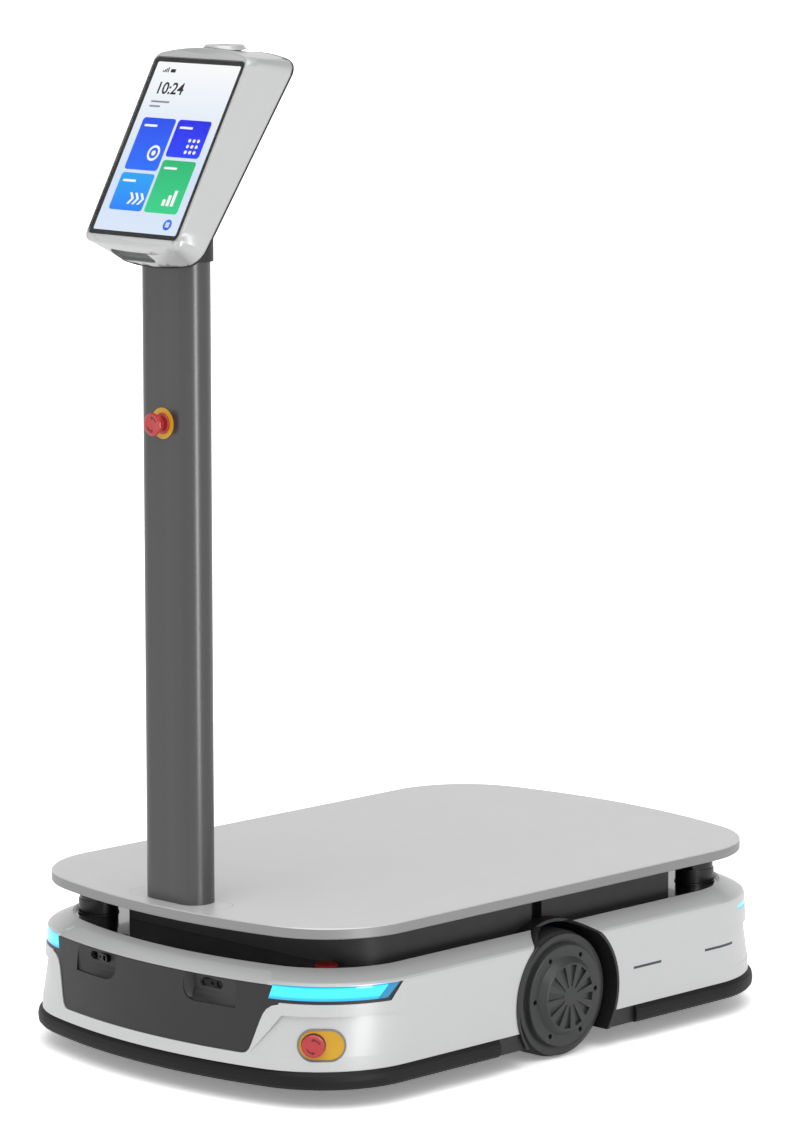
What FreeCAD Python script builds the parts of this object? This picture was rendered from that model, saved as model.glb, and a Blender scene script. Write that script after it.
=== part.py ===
import FreeCAD, Part
import math
import os

# Autonomous mobile robot with an upright post and a touch-screen head.
# Millimetres. Front faces -Y, X runs across, +Z is up, the ground is Z = 0.

V = FreeCAD.Vector

# ---- load deck -------------------------------------------------------------
DECK_W = 600.0
DECK_L = 908.5
DECK_BOW = 56.2
DECK_R = 132.7
DECK_TOP = 237.3
DECK_T = 14.3
DECK_EDGE = 1.2
FOOT_L = 170.0
FOOT_R = 26.5
FOOT_T = 3.0
FOOT_GAP = 0.4
# ---- body cover: outline (width, length, bow, corner radius) at a height ---
BODY_LOW = (615.7, 950.2, 62.4, 150.6)
BODY_LOW_Z = 55.0
BODY_SIDE = (618.0, 927.0, 60.0, 149.0)
BODY_SIDE_Z = 165.0
BODY_RIM = (556.3, 869.5, 58.6, 128.8)
BODY_RIM_Z = 180.0
EDGE_ROUND = ((160.6, 0.0), (164.4, 1.3), (167.0, 4.6))
COVER_Z = 176.0
WALL = 6.0
LIP = 6.0
EDGE = 0.3
COVER_T = 3.0
COVER_GAP = 0.5
# ---- drive wheels ----------------------------------------------------------
AXLE_Z = 90.0
GROUND = 5.5
TYRE_R = AXLE_Z - GROUND
TYRE_IN_R = 71.0
HUB_BORE = 66.0
TYRE_X0 = 244.0
TYRE_X1 = 294.0
FLANGE_X = 303.5
FLANGE_R = 67.0
RING_R = 81.2
BOSS_X = 313.0
BOSS_R0 = 52.4
BOSS_R1 = 44.8
SCREW_PCR = 58.0
SCREW_N = 6
RIB_N = 12
ARCH_R = 98.5
ARCH_T = 4.0
ARCH_X0 = 240.0
ARCH_X1 = 309.8
# ---- bumpers and base pan --------------------------------------------------
BUMP = (624.6, 955.7, 63.4, 143.9)
BUMP_Z0 = 31.7
BUMP_Z1 = 54.6
BUMP_DEPTH = 16.0
BUMP_END = 131.0
PAN = (611.0, 944.0, 62.0, 146.0)
PAN_Z0 = 32.0
PAN_FLOOR = 40.0
PAN_T = 3.0
# ---- front panel, lamps, scoops (front view and corner view) ---------------
PANEL_LOW = 71.5
PANEL_TOP = 161.5
PANEL_END = ((165.0, 71.5), (171.0, 73.0), (175.5, 77.5), (178.5, 84.5), (189.0, 116.5), (192.5, 125.0),
             (197.0, 131.5), (204.0, 136.5), (213.0, 139.0))
BEVEL_Z = (161.0, 175.0)
BEVEL_X = (150.0, 196.0)
LAMP_Z0 = 145.0
LAMP_Z1 = 163.0
LAMP_T = (-153.3, -147.2, 12.7, -2.2)
REAR_LAMP = (-150.0, -17.2, 148.2, 153.8)
CORNER_ANG = 42.8
CORNER_C = (163.0, -301.4)
CORNER_R = 149.0
SCOOP_Z0 = 73.0
SCOOP_Z1 = 125.0
SCOOP_D = 5.4
CAM_X = 106.0
CAM_Z = 150.6
CAM_YAW = 15.6
CAM_SLOT = (37.4, 10.6)
POCKET = ((126.0, 82.0, 0.0), (129.0, 72.5, 0.3), (134.5, 66.5, 0.7), (141.0, 64.0, 1.0), (161.3, 63.0, 1.0))
POCKET_OUT = 150.0
POCKET_D = 11.0
# ---- casters ---------------------------------------------------------------
CASTER_X = 190.0
CASTER_Y = 310.0
CASTER_AT = ((-CASTER_X, -CASTER_Y), (CASTER_X, -CASTER_Y), (-CASTER_X, CASTER_Y),
             (CASTER_X, CASTER_Y))
CASTER_R = 27.5
CASTER_Z = GROUND + CASTER_R
CASTER_W = 22.0
CASTER_TRAIL = 20.0
CUP_R = 62.0
CUP_TOP = 91.0
# ---- under-deck housing and scanners ---------------------------------------
TUB_X = 261.0
TUB_Y = 345.0
TUB_R = 62.0
TUB_CUT = (162.0, 246.0)
LIDAR_AT = (219.5, 349.5)
LIDAR_R = 26.4
CAP_AT = (226.4, -364.6)
CAP_R = 14.6
# ---- upright post ----------------------------------------------------------
POLE_Y = -404.5
POLE_W = 101.5
POLE_D = 50.2
POLE_R = 23.0
POLE_WALL = 3.0
POLE_TOP = 1140.0
SOCKET_Z0 = 1066.0
SOCKET_W = 108.0
SOCKET_D = 57.0
# ---- emergency stop on the post --------------------------------------------
STOP_Z = 859.0
STOP_RING = 20.0
STOP_HEAD = 15.0
STOP_TRAVEL = 4.0
# ---- emergency stop on the front corner ------------------------------------
CSTOP_Z = 88.6
CSTOP_W = 62.0
CSTOP_H = 41.5
CSTOP_FACE = 144.6
CSTOP_OFF = -10.3
# ---- head ------------------------------------------------------------------
GLASS_C = (-420.4, 1209.2)
GLASS_TILT = 29.3
GLASS_W = 166.6
GLASS_H = 250.4
GLASS_R = 8.0
GLASS_T = 3.0
REAR_C = (-350.1, 1193.0)
REAR_TILT = 35.2
HEAD_FRONT = (86.0, 141.0, 12.0, -137.0, 3.0, 13.0)
HEAD_REAR = (78.5, 157.5, 14.0, -163.0, 10.0, 24.0)
BACK_N = 9.0
BACK_IN = 20.0
GASKET_T = 2.2
CAM_Y = -318.0
CAM_R = 26.0
# ---- the chin reaches further forward than the bumper: centre the overall box ----
SHIFT_Y = 4.35
SHIFT_Z = -GROUND


def arc(a, m, b):
    return Part.Arc(a, m, b).toShape()


def line(a, b):
    return Part.makeLine(a, b)


def rounded(hw, top, bow_t, low, bow_l, r, place):
    """Rectangle with bowed ends and tangent corner arcs; place maps (u, v) to space."""
    pts = []
    for end, bow, sign in ((top, bow_t, 1.0), (low, bow_l, -1.0)):
        big = (hw * hw + bow * bow) / (2.0 * bow)
        cen = end - sign * big
        fx = hw - r
        fv = cen + sign * math.sqrt((big - r) ** 2 - fx * fx)
        ang = math.atan2(sign * (fv - cen), fx)
        tan = (big * math.cos(ang), cen + sign * big * math.sin(ang))
        mid = ang / 2.0
        cor = (fx + r * math.cos(mid), fv + sign * r * math.sin(mid))
        pts.append(((hw, fv), cor, tan, (0.0, end)))
    (s1, c1, t1, p1), (s2, c2, t2, p2) = pts
    ed = [line(place(hw, s2[1]), place(hw, s1[1]))]
    ed.append(arc(place(*s1), place(*c1), place(*t1)))
    ed.append(arc(place(*t1), place(*p1), place(-t1[0], t1[1])))
    ed.append(arc(place(-t1[0], t1[1]), place(-c1[0], c1[1]), place(-hw, s1[1])))
    ed.append(line(place(-hw, s1[1]), place(-hw, s2[1])))
    ed.append(arc(place(-hw, s2[1]), place(-c2[0], c2[1]), place(-t2[0], t2[1])))
    ed.append(arc(place(-t2[0], t2[1]), place(*p2), place(*t2)))
    ed.append(arc(place(*t2), place(*c2), place(*s2)))
    return Part.Wire(ed)


def plan(o, z, inset=0.0):
    """Bowed plan outline at height z, moved inward by inset."""
    w, l, b, r = o
    hw = w / 2.0 - inset
    hl = l / 2.0 - inset
    return rounded(hw, hl, b, -hl, b, r - inset, lambda u, v: V(u, v, z))


def slab(o, z0, z1, inset=0.0):
    return Part.Face(plan(o, z0, inset)).extrude(V(0, 0, z1 - z0))


def loft(wires):
    return Part.makeLoft(wires, True, True)


def box(x0, x1, y0, y1, z0, z1):
    return Part.makeBox(x1 - x0, y1 - y0, z1 - z0, V(x0, y0, z0))


def cyl(r, h, p, d=V(0, 0, 1)):
    return Part.makeCylinder(r, h, p, d)


def prism(pts, d):
    return Part.Face(Part.makePolygon(list(pts) + [pts[0]])).extrude(d)


def fuse(shapes):
    out = shapes[0]
    if len(shapes) > 1:
        out = out.fuse(shapes[1:])
    return out.removeSplitter()


def rrect(w, h, r, place):
    """Plain rounded rectangle centred on place(0, 0)."""
    a = w / 2.0
    b = h / 2.0
    k = r * (1.0 - math.sqrt(0.5))
    p = [(a, -b + r), (a, b - r), (a - k, b - k), (a - r, b), (-a + r, b), (-a + k, b - k),
         (-a, b - r), (-a, -b + r), (-a + k, -b + k), (-a + r, -b), (a - r, -b), (a - k, -b + k)]
    q = [place(*t) for t in p]
    ed = [line(q[0], q[1]), arc(q[1], q[2], q[3]), arc(q[4], q[5], q[6]), line(q[6], q[7])]
    ed += [arc(q[7], q[8], q[9]), arc(q[10], q[11], q[0])]
    if a - r > 1e-6:
        ed += [line(q[3], q[4]), line(q[9], q[10])]
    return Part.Wire(Part.__sortEdges__(ed))


def turned(profile, origin, axis):
    """Revolve (distance along axis, radius) pairs about an axis."""
    base = Part.Face(Part.makePolygon([V(r, 0, a) for a, r in profile + profile[:1]]))
    solid = base.revolve(V(0, 0, 0), V(0, 0, 1), 360)
    rot = FreeCAD.Rotation(V(0, 0, 1), axis)
    solid.Placement = FreeCAD.Placement(origin, rot)
    return solid


def mirror_x(shape):
    return shape.mirror(V(0, 0, 0), V(1, 0, 0))


def mirror_y(shape):
    return shape.mirror(V(0, 0, 0), V(0, 1, 0))


def half_turn(shape):
    out = shape.copy()
    out.rotate(V(0, 0, 0), V(0, 0, 1), 180)
    return out


# ---- body cover ------------------------------------------------------------
def body_solid(inset):
    """Outer form of the body cover, moved inward by inset."""
    levels = [plan(BODY_LOW, BODY_LOW_Z, inset)]
    for z, turn in EDGE_ROUND:
        levels.append(plan(BODY_SIDE, z - 0.4 * inset, turn + inset))
    levels.append(plan(BODY_RIM, BODY_RIM_Z - inset, inset))
    return loft(levels)


def shoulder_cut():
    """Wedge that the front of the shoulder loses: a flatter bevel above the panel."""
    z0, z1 = BEVEL_Z
    t = (z1 - BODY_SIDE_Z) / (BODY_RIM_Z - BODY_SIDE_Z)
    mid = [a + (b - a) * t for a, b in zip(BODY_SIDE, BODY_RIM)]
    keep = loft([plan(BODY_SIDE, z0, 0.0), plan(mid, z1, 0.2), plan(mid, z1 + 20.0, 0.2)])
    x0, x1 = BEVEL_X
    region = prism([V(-x1, -600.0, z0), V(x1, -600.0, z0), V(x1, -430.0, z0), V(x0, -400.0, z0),
                    V(-x0, -400.0, z0), V(-x1, -430.0, z0)], V(0, 0, z1 + 8.0 - z0))
    return region.cut(keep)


def arch_cut(r=ARCH_R, x0=200.0):
    a = cyl(r, 200.0, V(x0, 0, AXLE_Z), V(1, 0, 0))
    b = cyl(r, 200.0, V(-x0, 0, AXLE_Z), V(-1, 0, 0))
    return a.fuse(b)


def corner_dirs():
    a = math.radians(CORNER_ANG)
    n = V(math.sin(a), -math.cos(a), 0)
    t = V(math.cos(a), math.sin(a), 0)
    return n, t


def lamp_prism(grow, low=0.0, end=0.0):
    """Window of a front-right lamp, seen square on to the corner."""
    n, t = corner_dirs()
    p = [(LAMP_T[0] - grow, LAMP_Z0 - grow - low), (LAMP_T[1] - grow, LAMP_Z1 + grow)]
    p += [(LAMP_T[2] + grow + end, LAMP_Z1 + grow), (LAMP_T[3] + grow + end, LAMP_Z0 - grow - low)]
    pts = [t * u + n * 300.0 + V(0, 0, z) for u, z in p]
    return prism(pts, n * 300.0)


def panel_prism(grow):
    """Front window of the dark panel with its rounded, stepped-up ends."""
    p = [(x + grow, z - grow) for x, z in PANEL_END]
    p += [(PANEL_END[-1][0] + grow, PANEL_TOP + grow)]
    left = [(-x, z) for x, z in reversed(p)]
    pts = [V(x, -600.0, z) for x, z in p + left]
    return prism(pts, V(0, 250.0, 0))


def rear_lamp_prism(grow):
    """Window of a slim rear lamp, set out as if it were at the front right."""
    n, t = corner_dirs()
    a, b, z0, z1 = REAR_LAMP
    w = b - a + 2.0 * grow
    h = z1 - z0 + 2.0 * grow
    o = t * ((a + b) / 2.0) + n * 300.0 + V(0, 0, (z0 + z1) / 2.0)
    wire = rrect(w, h, h / 2.0 - 0.01, lambda u, v: o + t * u + V(0, 0, v))
    return Part.Face(wire).extrude(n * 300.0)


def panel_window(grow):
    band = lamp_prism(grow, 4.0, 4.0)
    return fuse([panel_prism(grow), band, mirror_x(band)])


def scoops():
    """Shallow hollow below each lamp, deep at its front end and dying out along the side."""
    n, t = corner_dirs()
    p = [(-178.0, SCOOP_Z0), (-136.0, SCOOP_Z1), (40.0, SCOOP_Z1), (40.0, SCOOP_Z0)]
    region = prism([t * u + n * 300.0 + V(0, 0, z) for u, z in p], n * 300.0)
    core = body_solid(0.0)
    lean = math.degrees(math.atan(SCOOP_D / (SCOOP_Z1 - SCOOP_Z0)))
    core.rotate(V(0, -BODY_SIDE[1] / 2.0, SCOOP_Z0), V(1, 0, 0), -lean)
    right = region.cut(core)
    front = right.fuse(mirror_x(right))
    return front.fuse(mirror_y(front))


def stop_place(off=0.0, depth=CSTOP_FACE):
    """Point on the corner normal: off along the wall, depth from the corner centre."""
    n, t = corner_dirs()
    return V(CORNER_C[0], CORNER_C[1], CSTOP_Z) + n * depth + t * off


def stop_tray(w, h, d0, d1):
    n, t = corner_dirs()
    o = stop_place(0.0, d0)
    wire = rrect(w, h, h / 2.0 - 0.01, lambda u, v: o + t * u + V(0, 0, v))
    return Part.Face(wire).extrude(n * (d1 - d0))


def body_shell():
    outer = body_solid(0.0)
    inner = loft([plan(BODY_LOW, BODY_LOW_Z - 1.0, WALL), plan(BODY_SIDE, BODY_SIDE_Z - 2.0, WALL),
                  plan(BODY_RIM, BODY_RIM_Z - 5.0, LIP)])
    hole = slab(BODY_RIM, BODY_RIM_Z - 9.0, BODY_RIM_Z + 5.0, EDGE)
    shell = outer.cut([inner, hole, scoops(), arch_cut(), panel_window(0.4)])
    lamp = mirror_y(rear_lamp_prism(0.4))
    shell = shell.cut([lamp, mirror_x(lamp), shoulder_cut(), stop_tray(CSTOP_W + 0.6, CSTOP_H + 0.6, 120.0, 170.0)])
    return shell


def shell_half(front):
    s = body_shell()
    y0 = -600.0 if front else 0.0
    half = s.common(box(-400.0, 400.0, y0, y0 + 600.0, 0.0, 300.0))
    return max(half.Solids, key=lambda q: q.Volume)


def skin(inset0, inset1):
    return body_solid(inset0).cut(body_solid(inset1))


def front_y(x):
    """Where the front wall of the body stands at x."""
    hw = BODY_SIDE[0] / 2.0
    big = (hw * hw + BODY_SIDE[2] ** 2) / (2.0 * BODY_SIDE[2])
    return -BODY_SIDE[1] / 2.0 + big - math.sqrt(big * big - x * x)


def camera_pocket():
    """Hollow for the right camera: deep on its inner side, dying out towards the lamp."""
    wires = []
    for z, x, k in POCKET:
        p = [(POCKET_OUT, -600.0), (POCKET_OUT, front_y(POCKET_OUT) + 0.6)]
        p += [(x + 7.0 * k + 1.0, front_y(x) + 0.6 + POCKET_D * k), (x, front_y(x) + 0.6), (x, -600.0)]
        wires.append(Part.makePolygon([V(a, b, z) for a, b in p + p[:1]]))
    return loft(wires)


def camera_axes():
    a = math.radians(CAM_YAW)
    return V(math.sin(a), -math.cos(a), 0), V(math.cos(a), math.sin(a), 0)


def camera_slot(w, h, back, front):
    """Oblong bar along the right camera's line of sight, measured from its pocket floor."""
    n, t = camera_axes()
    mouth = V(CAM_X, front_y(CAM_X) + 5.6, CAM_Z) + n * front
    wire = rrect(w, h, h / 2.0 - 0.01, lambda u, v: mouth + t * u + V(0, 0, v))
    return Part.Face(wire).extrude(n * (back - front))


def front_panel():
    s = skin(1.2, 5.0).common(panel_window(0.0))
    lamp = lamp_prism(0.3)
    s = s.cut([lamp, mirror_x(lamp)])
    block = skin(1.2, 20.0).common(box(58.0, POCKET_OUT + 3.0, -600.0, -300.0, 122.0, PANEL_TOP))
    holes = [camera_pocket(), camera_slot(CAM_SLOT[0], CAM_SLOT[1], -40.0, 20.0)]
    s = s.fuse([block, mirror_x(block)]).cut(holes + [mirror_x(h) for h in holes])
    return fuse(s.Solids)


def camera_unit(right):
    """Depth camera behind the panel: an oblong nose in the slot with two round windows."""
    n, t = camera_axes()
    w, h = CAM_SLOT
    nose = camera_slot(w - 0.8, h - 0.8, -34.0, -1.2)
    body = camera_slot(76.0, 22.0, -40.0, -16.5)
    s = nose.fuse(body).cut(skin(-60.0, 20.4).cut(camera_slot(w - 0.6, h - 0.6, -40.0, 20.0)))
    mouth = V(CAM_X, front_y(CAM_X) + 5.6, CAM_Z)
    for u, r in ((-11.0, 3.9), (1.0, 2.2), (11.0, 3.9)):
        s = s.cut(cyl(r, 4.0, mouth + t * u - n * 3.2, n))
    s = max(s.Solids, key=lambda q: q.Volume)
    return s if right else mirror_x(s)


def lamp(index):
    window = lamp_prism(0.0) if index < 2 else rear_lamp_prism(0.0)
    s = skin(0.7, 7.0).common(window)
    s = max(s.Solids, key=lambda q: q.Volume)
    if index in (0, 2):
        s = mirror_x(s)
    if index in (2, 3):
        s = mirror_y(s)
    return s


# ---- deck, post, housing ---------------------------------------------------
DECK = (DECK_W, DECK_L, DECK_BOW, DECK_R)


def deck_plate():
    z0 = DECK_TOP - DECK_T
    s = loft([plan(DECK, z0 + DECK_EDGE, 0.0), plan(DECK, DECK_TOP - DECK_EDGE, 0.0)])
    low = loft([plan(DECK, z0, DECK_EDGE), plan(DECK, z0 + DECK_EDGE, 0.0)])
    top = loft([plan(DECK, DECK_TOP - DECK_EDGE, 0.0), plan(DECK, DECK_TOP, DECK_EDGE)])
    s = fuse([s, low, top])
    return s.cut(foot_plate(FOOT_GAP, FOOT_T + 1.0))


def foot_plate(grow, t):
    r = FOOT_R + grow
    wire = rrect(FOOT_L + 2.0 * grow, 2.0 * r, r - 0.01, lambda u, v: V(u, POLE_Y + v, DECK_TOP - FOOT_T))
    return Part.Face(wire).extrude(V(0, 0, t))


def pole_foot():
    return foot_plate(0.0, FOOT_T)


def pole_section(grow=0.0, z=0.0):
    return rrect(POLE_W + 2 * grow, POLE_D + 2 * grow, POLE_R + grow,
                 lambda u, v: V(u, POLE_Y + v, z))


def rear_plane(depth):
    """Large block lying in front of the head's rear plane, moved back by depth."""
    o, u, n = frame(REAR_C, REAR_TILT)
    face = Part.Face(rrect(600.0, 900.0, 1.0, lambda a, b: o + V(a, 0, 0) + u * b - n * depth))
    return face.extrude(n * 400.0)


def pole():
    out = Part.Face(pole_section(0.0, DECK_TOP)).extrude(V(0, 0, POLE_TOP - DECK_TOP))
    bore = Part.Face(pole_section(-POLE_WALL, DECK_TOP)).extrude(V(0, 0, POLE_TOP))
    web = box(-60.0, 60.0, POLE_Y - 1.5, POLE_Y + 1.5, DECK_TOP, POLE_TOP)
    bore = bore.cut(web.cut(box(-30.0, 30.0, -460.0, -350.0, STOP_Z - 40.0, STOP_Z + 40.0)))
    s = out.cut([bore, rear_plane(BACK_N + 0.3)])
    hole = cyl(12.3, 40.0, V(0, POLE_Y - 40.0, STOP_Z), V(0, 1, 0))
    return s.cut(hole)


def pole_socket():
    place = lambda u, v: V(u, POLE_Y + v, SOCKET_Z0)
    s = Part.Face(rrect(SOCKET_W, SOCKET_D, 25.0, place)).extrude(V(0, 0, 120.0))
    core = Part.Face(pole_section(0.0, SOCKET_Z0 - 1.0)).extrude(V(0, 0, 300.0))
    s = s.cut([core, rear_plane(BACK_N + 0.3)])
    return max(s.Solids, key=lambda q: q.Volume)


def tub():
    hx = TUB_X
    hy = TUB_Y
    wire = rrect(2 * hx, 2 * hy, TUB_R, lambda u, v: V(u, v, COVER_Z))
    s = Part.Face(wire).extrude(V(0, 0, DECK_TOP - DECK_T - COVER_Z))
    cx, cy = TUB_CUT
    for k in (-1.0, 1.0):
        p = [(cx, hy + 9.0), (cx + 14.0, hy - 26.0), (hx - 22.0, cy + 16.0), (hx + 9.0, cy)]
        p.append((hx + 80.0, hy + 80.0))
        s = s.cut(prism([V(k * a, k * b, 100.0) for a, b in p], V(0, 0, 300.0)))
    s = s.makeFillet(6.0, [e for e in s.Edges if tub_edge(e)])
    s = s.cut(arch_cut(ARCH_R + 0.5))
    for k in (-1.0, 1.0):
        s = s.cut(box(k * 255.0 - 8.0, k * 255.0 + 8.0, -20.0, -1.0, 150.0, 300.0))
    return s


def tub_edge(e):
    b = e.BoundBox
    return b.ZLength > 40.0 and abs(b.YMin) > 200.0 and b.XLength < 0.1 and b.YLength < 0.1


def lidar(front):
    x, y = LIDAR_AT
    r = LIDAR_R
    prof = [(0.0, 0.0), (0.0, r + 1.2), (1.6, r + 1.2), (2.4, r), (20.0, r), (20.0, r - 1.4), (31.0, r - 1.4),
            (31.0, r), (41.0, r), (43.0, r - 1.6), (43.0, 0.0)]
    s = turned(prof, V(x, y, COVER_Z), V(0, 0, 1))
    return half_turn(s) if front else s


def top_cover():
    """Black tray inside the silver rim, a few millimetres below its top."""
    z1 = COVER_Z
    s = slab(BODY_RIM, z1 - COVER_T, z1, EDGE + COVER_GAP)
    wall = slab(BODY_RIM, z1 - COVER_T, BODY_RIM_Z - 0.4, EDGE + COVER_GAP)
    s = s.fuse(wall.cut(slab(BODY_RIM, 0.0, 300.0, EDGE + COVER_GAP + 1.5)))
    s = s.cut([arch_cut(ARCH_R + 0.5), cyl(CAP_R + 0.4, 20.0, V(CAP_AT[0], CAP_AT[1], z1 - 10.0))])
    for k in (1.0, -1.0):
        for x, y in ((-89.8, -421.0), (53.7, -423.0)):
            s = s.cut(cyl(2.2, 10.0, V(k * x, k * y, z1 - 5.0)))
    return fuse(s.Solids)


def power_cap():
    prof = [(-11.0, 0.0), (-11.0, 8.0), (-8.0, 8.0), (-8.0, CAP_R - 1.0), (-6.0, CAP_R),
            (0.8, CAP_R), (1.6, CAP_R - 1.0), (1.6, 0.0)]
    return turned(prof, V(CAP_AT[0], CAP_AT[1], BODY_RIM_Z), V(0, 0, 1))


# ---- bumpers, base pan, arches --------------------------------------------
def bumper(front):
    zm = (BUMP_Z0 + BUMP_Z1) / 2.0
    ring = loft([plan(BUMP, BUMP_Z0, 4.0), plan(BUMP, BUMP_Z0 + 4.0, 0.8), plan(BUMP, zm, 0.0),
                 plan(BUMP, BUMP_Z1 - 5.0, 1.2), plan(BUMP, BUMP_Z1, 5.0)])
    ring = ring.cut([slab(BUMP, 0.0, 100.0, BUMP_DEPTH - 8.4), slab(PAN, 0.0, 100.0, -0.05)])
    s = ring.common(box(-400.0, 400.0, -600.0, -BUMP_END, 0.0, 100.0))
    return s if front else mirror_y(s)


def base_pan():
    rim = slab(PAN, PAN_Z0, BODY_LOW_Z - 0.4).cut(slab(PAN, 0.0, 100.0, 3.0))
    rim = rim.cut(arch_cut(ARCH_R + 0.4))
    floor = slab(PAN, PAN_FLOOR, PAN_FLOOR + PAN_T, 2.0)
    floor = floor.cut([box(205.0, 400.0, -102.0, 102.0, 0.0, 100.0),
                       box(-400.0, -205.0, -102.0, 102.0, 0.0, 100.0)])
    parts = [rim, floor]
    holes = []
    for x, y in CASTER_AT:
        cup = cyl(CUP_R + 3.0, CUP_TOP - PAN_FLOOR, V(x, y, PAN_FLOOR))
        parts.append(cup)
        holes.append(cyl(CUP_R, CUP_TOP - 3.0, V(x, y, 0.0)))
        holes.append(cyl(6.05, 60.0, V(x, y, 60.0)))
    for k in (-1.0, 1.0):
        wall = box(k * 207.0 - 2.0, k * 207.0 + 2.0, -102.0, 102.0, PAN_FLOOR, 150.0)
        parts.append(wall)
    s = fuse(parts).cut(holes)
    s = s.cut(cyl(12.0, 600.0, V(-300.0, 0, AXLE_Z), V(1, 0, 0)))
    return fuse(s.Solids)


def arch_trim(right):
    a = cyl(ARCH_R, ARCH_X1 - ARCH_X0, V(ARCH_X0, 0, AXLE_Z), V(1, 0, 0))
    b = cyl(ARCH_R - ARCH_T, 200.0, V(ARCH_X0 - 20.0, 0, AXLE_Z), V(1, 0, 0))
    s = a.cut([b, box(200.0, 400.0, -200.0, 200.0, -50.0, PAN_Z0)])
    crown = loft([plan(BODY_SIDE, BODY_SIDE_Z, -0.8), plan(BODY_RIM, BODY_RIM_Z + 3.0, -0.8),
                  plan(BODY_RIM, 230.0, 6.0)])
    low = slab(BODY_SIDE, 0.0, BODY_SIDE_Z, -0.8)
    s = s.common(fuse([crown, low]))
    return s if right else mirror_x(s)


# ---- drive wheels ----------------------------------------------------------
def axis_x(profile, right):
    s = turned(profile, V(0, 0, AXLE_Z), V(1, 0, 0))
    return s if right else mirror_x(s)


def tyre(right):
    x0 = TYRE_X0
    x1 = TYRE_X1
    r = TYRE_R
    p = [(x0, TYRE_IN_R), (x0, r - 9.5), (x0 + 2.0, r - 5.0), (x0 + 6.0, r - 1.2), (x0 + 12.0, r)]
    p += [(x1 - 12.0, r), (x1 - 6.0, r - 1.2), (x1 - 2.0, r - 5.0), (x1, r - 9.5), (x1, TYRE_IN_R)]
    return axis_x(p, right)


def hub(right):
    p = [(TYRE_X0 + 2.0, 12.05), (TYRE_X0 + 2.0, TYRE_IN_R), (TYRE_X1 + 0.5, TYRE_IN_R)]
    p += [(TYRE_X1 + 0.5, HUB_BORE), (TYRE_X0 + 8.0, HUB_BORE), (TYRE_X0 + 8.0, 12.05)]
    return axis_x(p, right)


def wheel_cover(right):
    x0 = TYRE_X1 + 0.5
    p = [(x0 - 8.0, 0.0), (x0 - 8.0, HUB_BORE - 0.2), (x0, HUB_BORE - 0.2), (x0, RING_R - 1.0), (x0 + 1.0, RING_R),
         (x0 + 2.2, RING_R - 0.4), (x0 + 3.4, FLANGE_R + 8.0), (x0 + 1.6, FLANGE_R + 2.2),
         (FLANGE_X - 1.2, FLANGE_R + 0.6), (FLANGE_X, FLANGE_R - 0.5), (FLANGE_X, BOSS_R0),
         (BOSS_X - 0.8, BOSS_R1 + 0.6), (BOSS_X, BOSS_R1 - 0.4), (BOSS_X, 0.0)]
    s = turned(p, V(0, 0, AXLE_Z), V(1, 0, 0))
    cuts = []
    for i in range(RIB_N):
        a = 360.0 * i / RIB_N
        q = [(13.0, -1.5), (42.0, -6.0), (42.0, 6.0), (13.0, 1.5)]
        w = prism([V(BOSS_X - 0.8, u, v + 0.0) for u, v in q], V(14.0, 0, 0))
        w.rotate(V(BOSS_X - 0.8, 13.0, 0), V(0, 0, 1), 6.5)
        w.rotate(V(0, 0, 0), V(1, 0, 0), a + 22.0)
        w.translate(V(0, 0, AXLE_Z))
        cuts.append(w)
    for p in screw_points():
        cuts.append(cyl(3.4, 12.0, p - V(3.6, 0, 0), V(1, 0, 0)))
    s = s.cut(cuts)
    return s if right else mirror_x(s)


def screw_points():
    out = []
    for i in range(SCREW_N):
        a = math.radians(360.0 * i / SCREW_N)
        out.append(V(FLANGE_X, SCREW_PCR * math.cos(a), AXLE_Z + SCREW_PCR * math.sin(a)))
    return out


def cover_screws(right):
    out = []
    for p in screw_points():
        s = cyl(2.9, 2.2, p - V(3.6, 0, 0), V(1, 0, 0))
        hexa = [V(p.x - 2.6, p.y + 1.5 * math.cos(k * math.pi / 3),
                  p.z + 1.5 * math.sin(k * math.pi / 3)) for k in range(6)]
        out.append(s.cut(prism(hexa, V(2.0, 0, 0))))
    c = Part.makeCompound(out)
    return c if right else mirror_x(c)


def motor(right):
    """Fixed half of the hub motor: axle, stator disc and mounting foot."""
    p = [(209.5, 0.0), (209.5, 22.0), (214.0, 22.0), (214.0, 12.0), (TYRE_X0 + 12.0, 12.0),
         (TYRE_X0 + 12.0, 60.0), (TYRE_X0 + 36.0, 60.0), (TYRE_X0 + 36.0, 0.0)]
    s = turned(p, V(0, 0, AXLE_Z), V(1, 0, 0))
    foot = Part.Face(rrect(70.0, 90.0, 12.0, lambda u, v: V(209.0, u, AXLE_Z + v)))
    s = fuse([s, foot.extrude(V(6.0, 0, 0))])
    return s if right else mirror_x(s)


# ---- casters ---------------------------------------------------------------
def caster_plate(i):
    x, y = CASTER_AT[i]
    prof = [(84.5, 6.05), (84.5, 20.0), (86.5, 28.0), (CUP_TOP - 3.0, 28.0), (CUP_TOP - 3.0, 6.05)]
    return turned(prof, V(x, y, 0), V(0, 0, 1))


def caster_plates():
    return Part.makeCompound([caster_plate(i) for i in range(4)])


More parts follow.
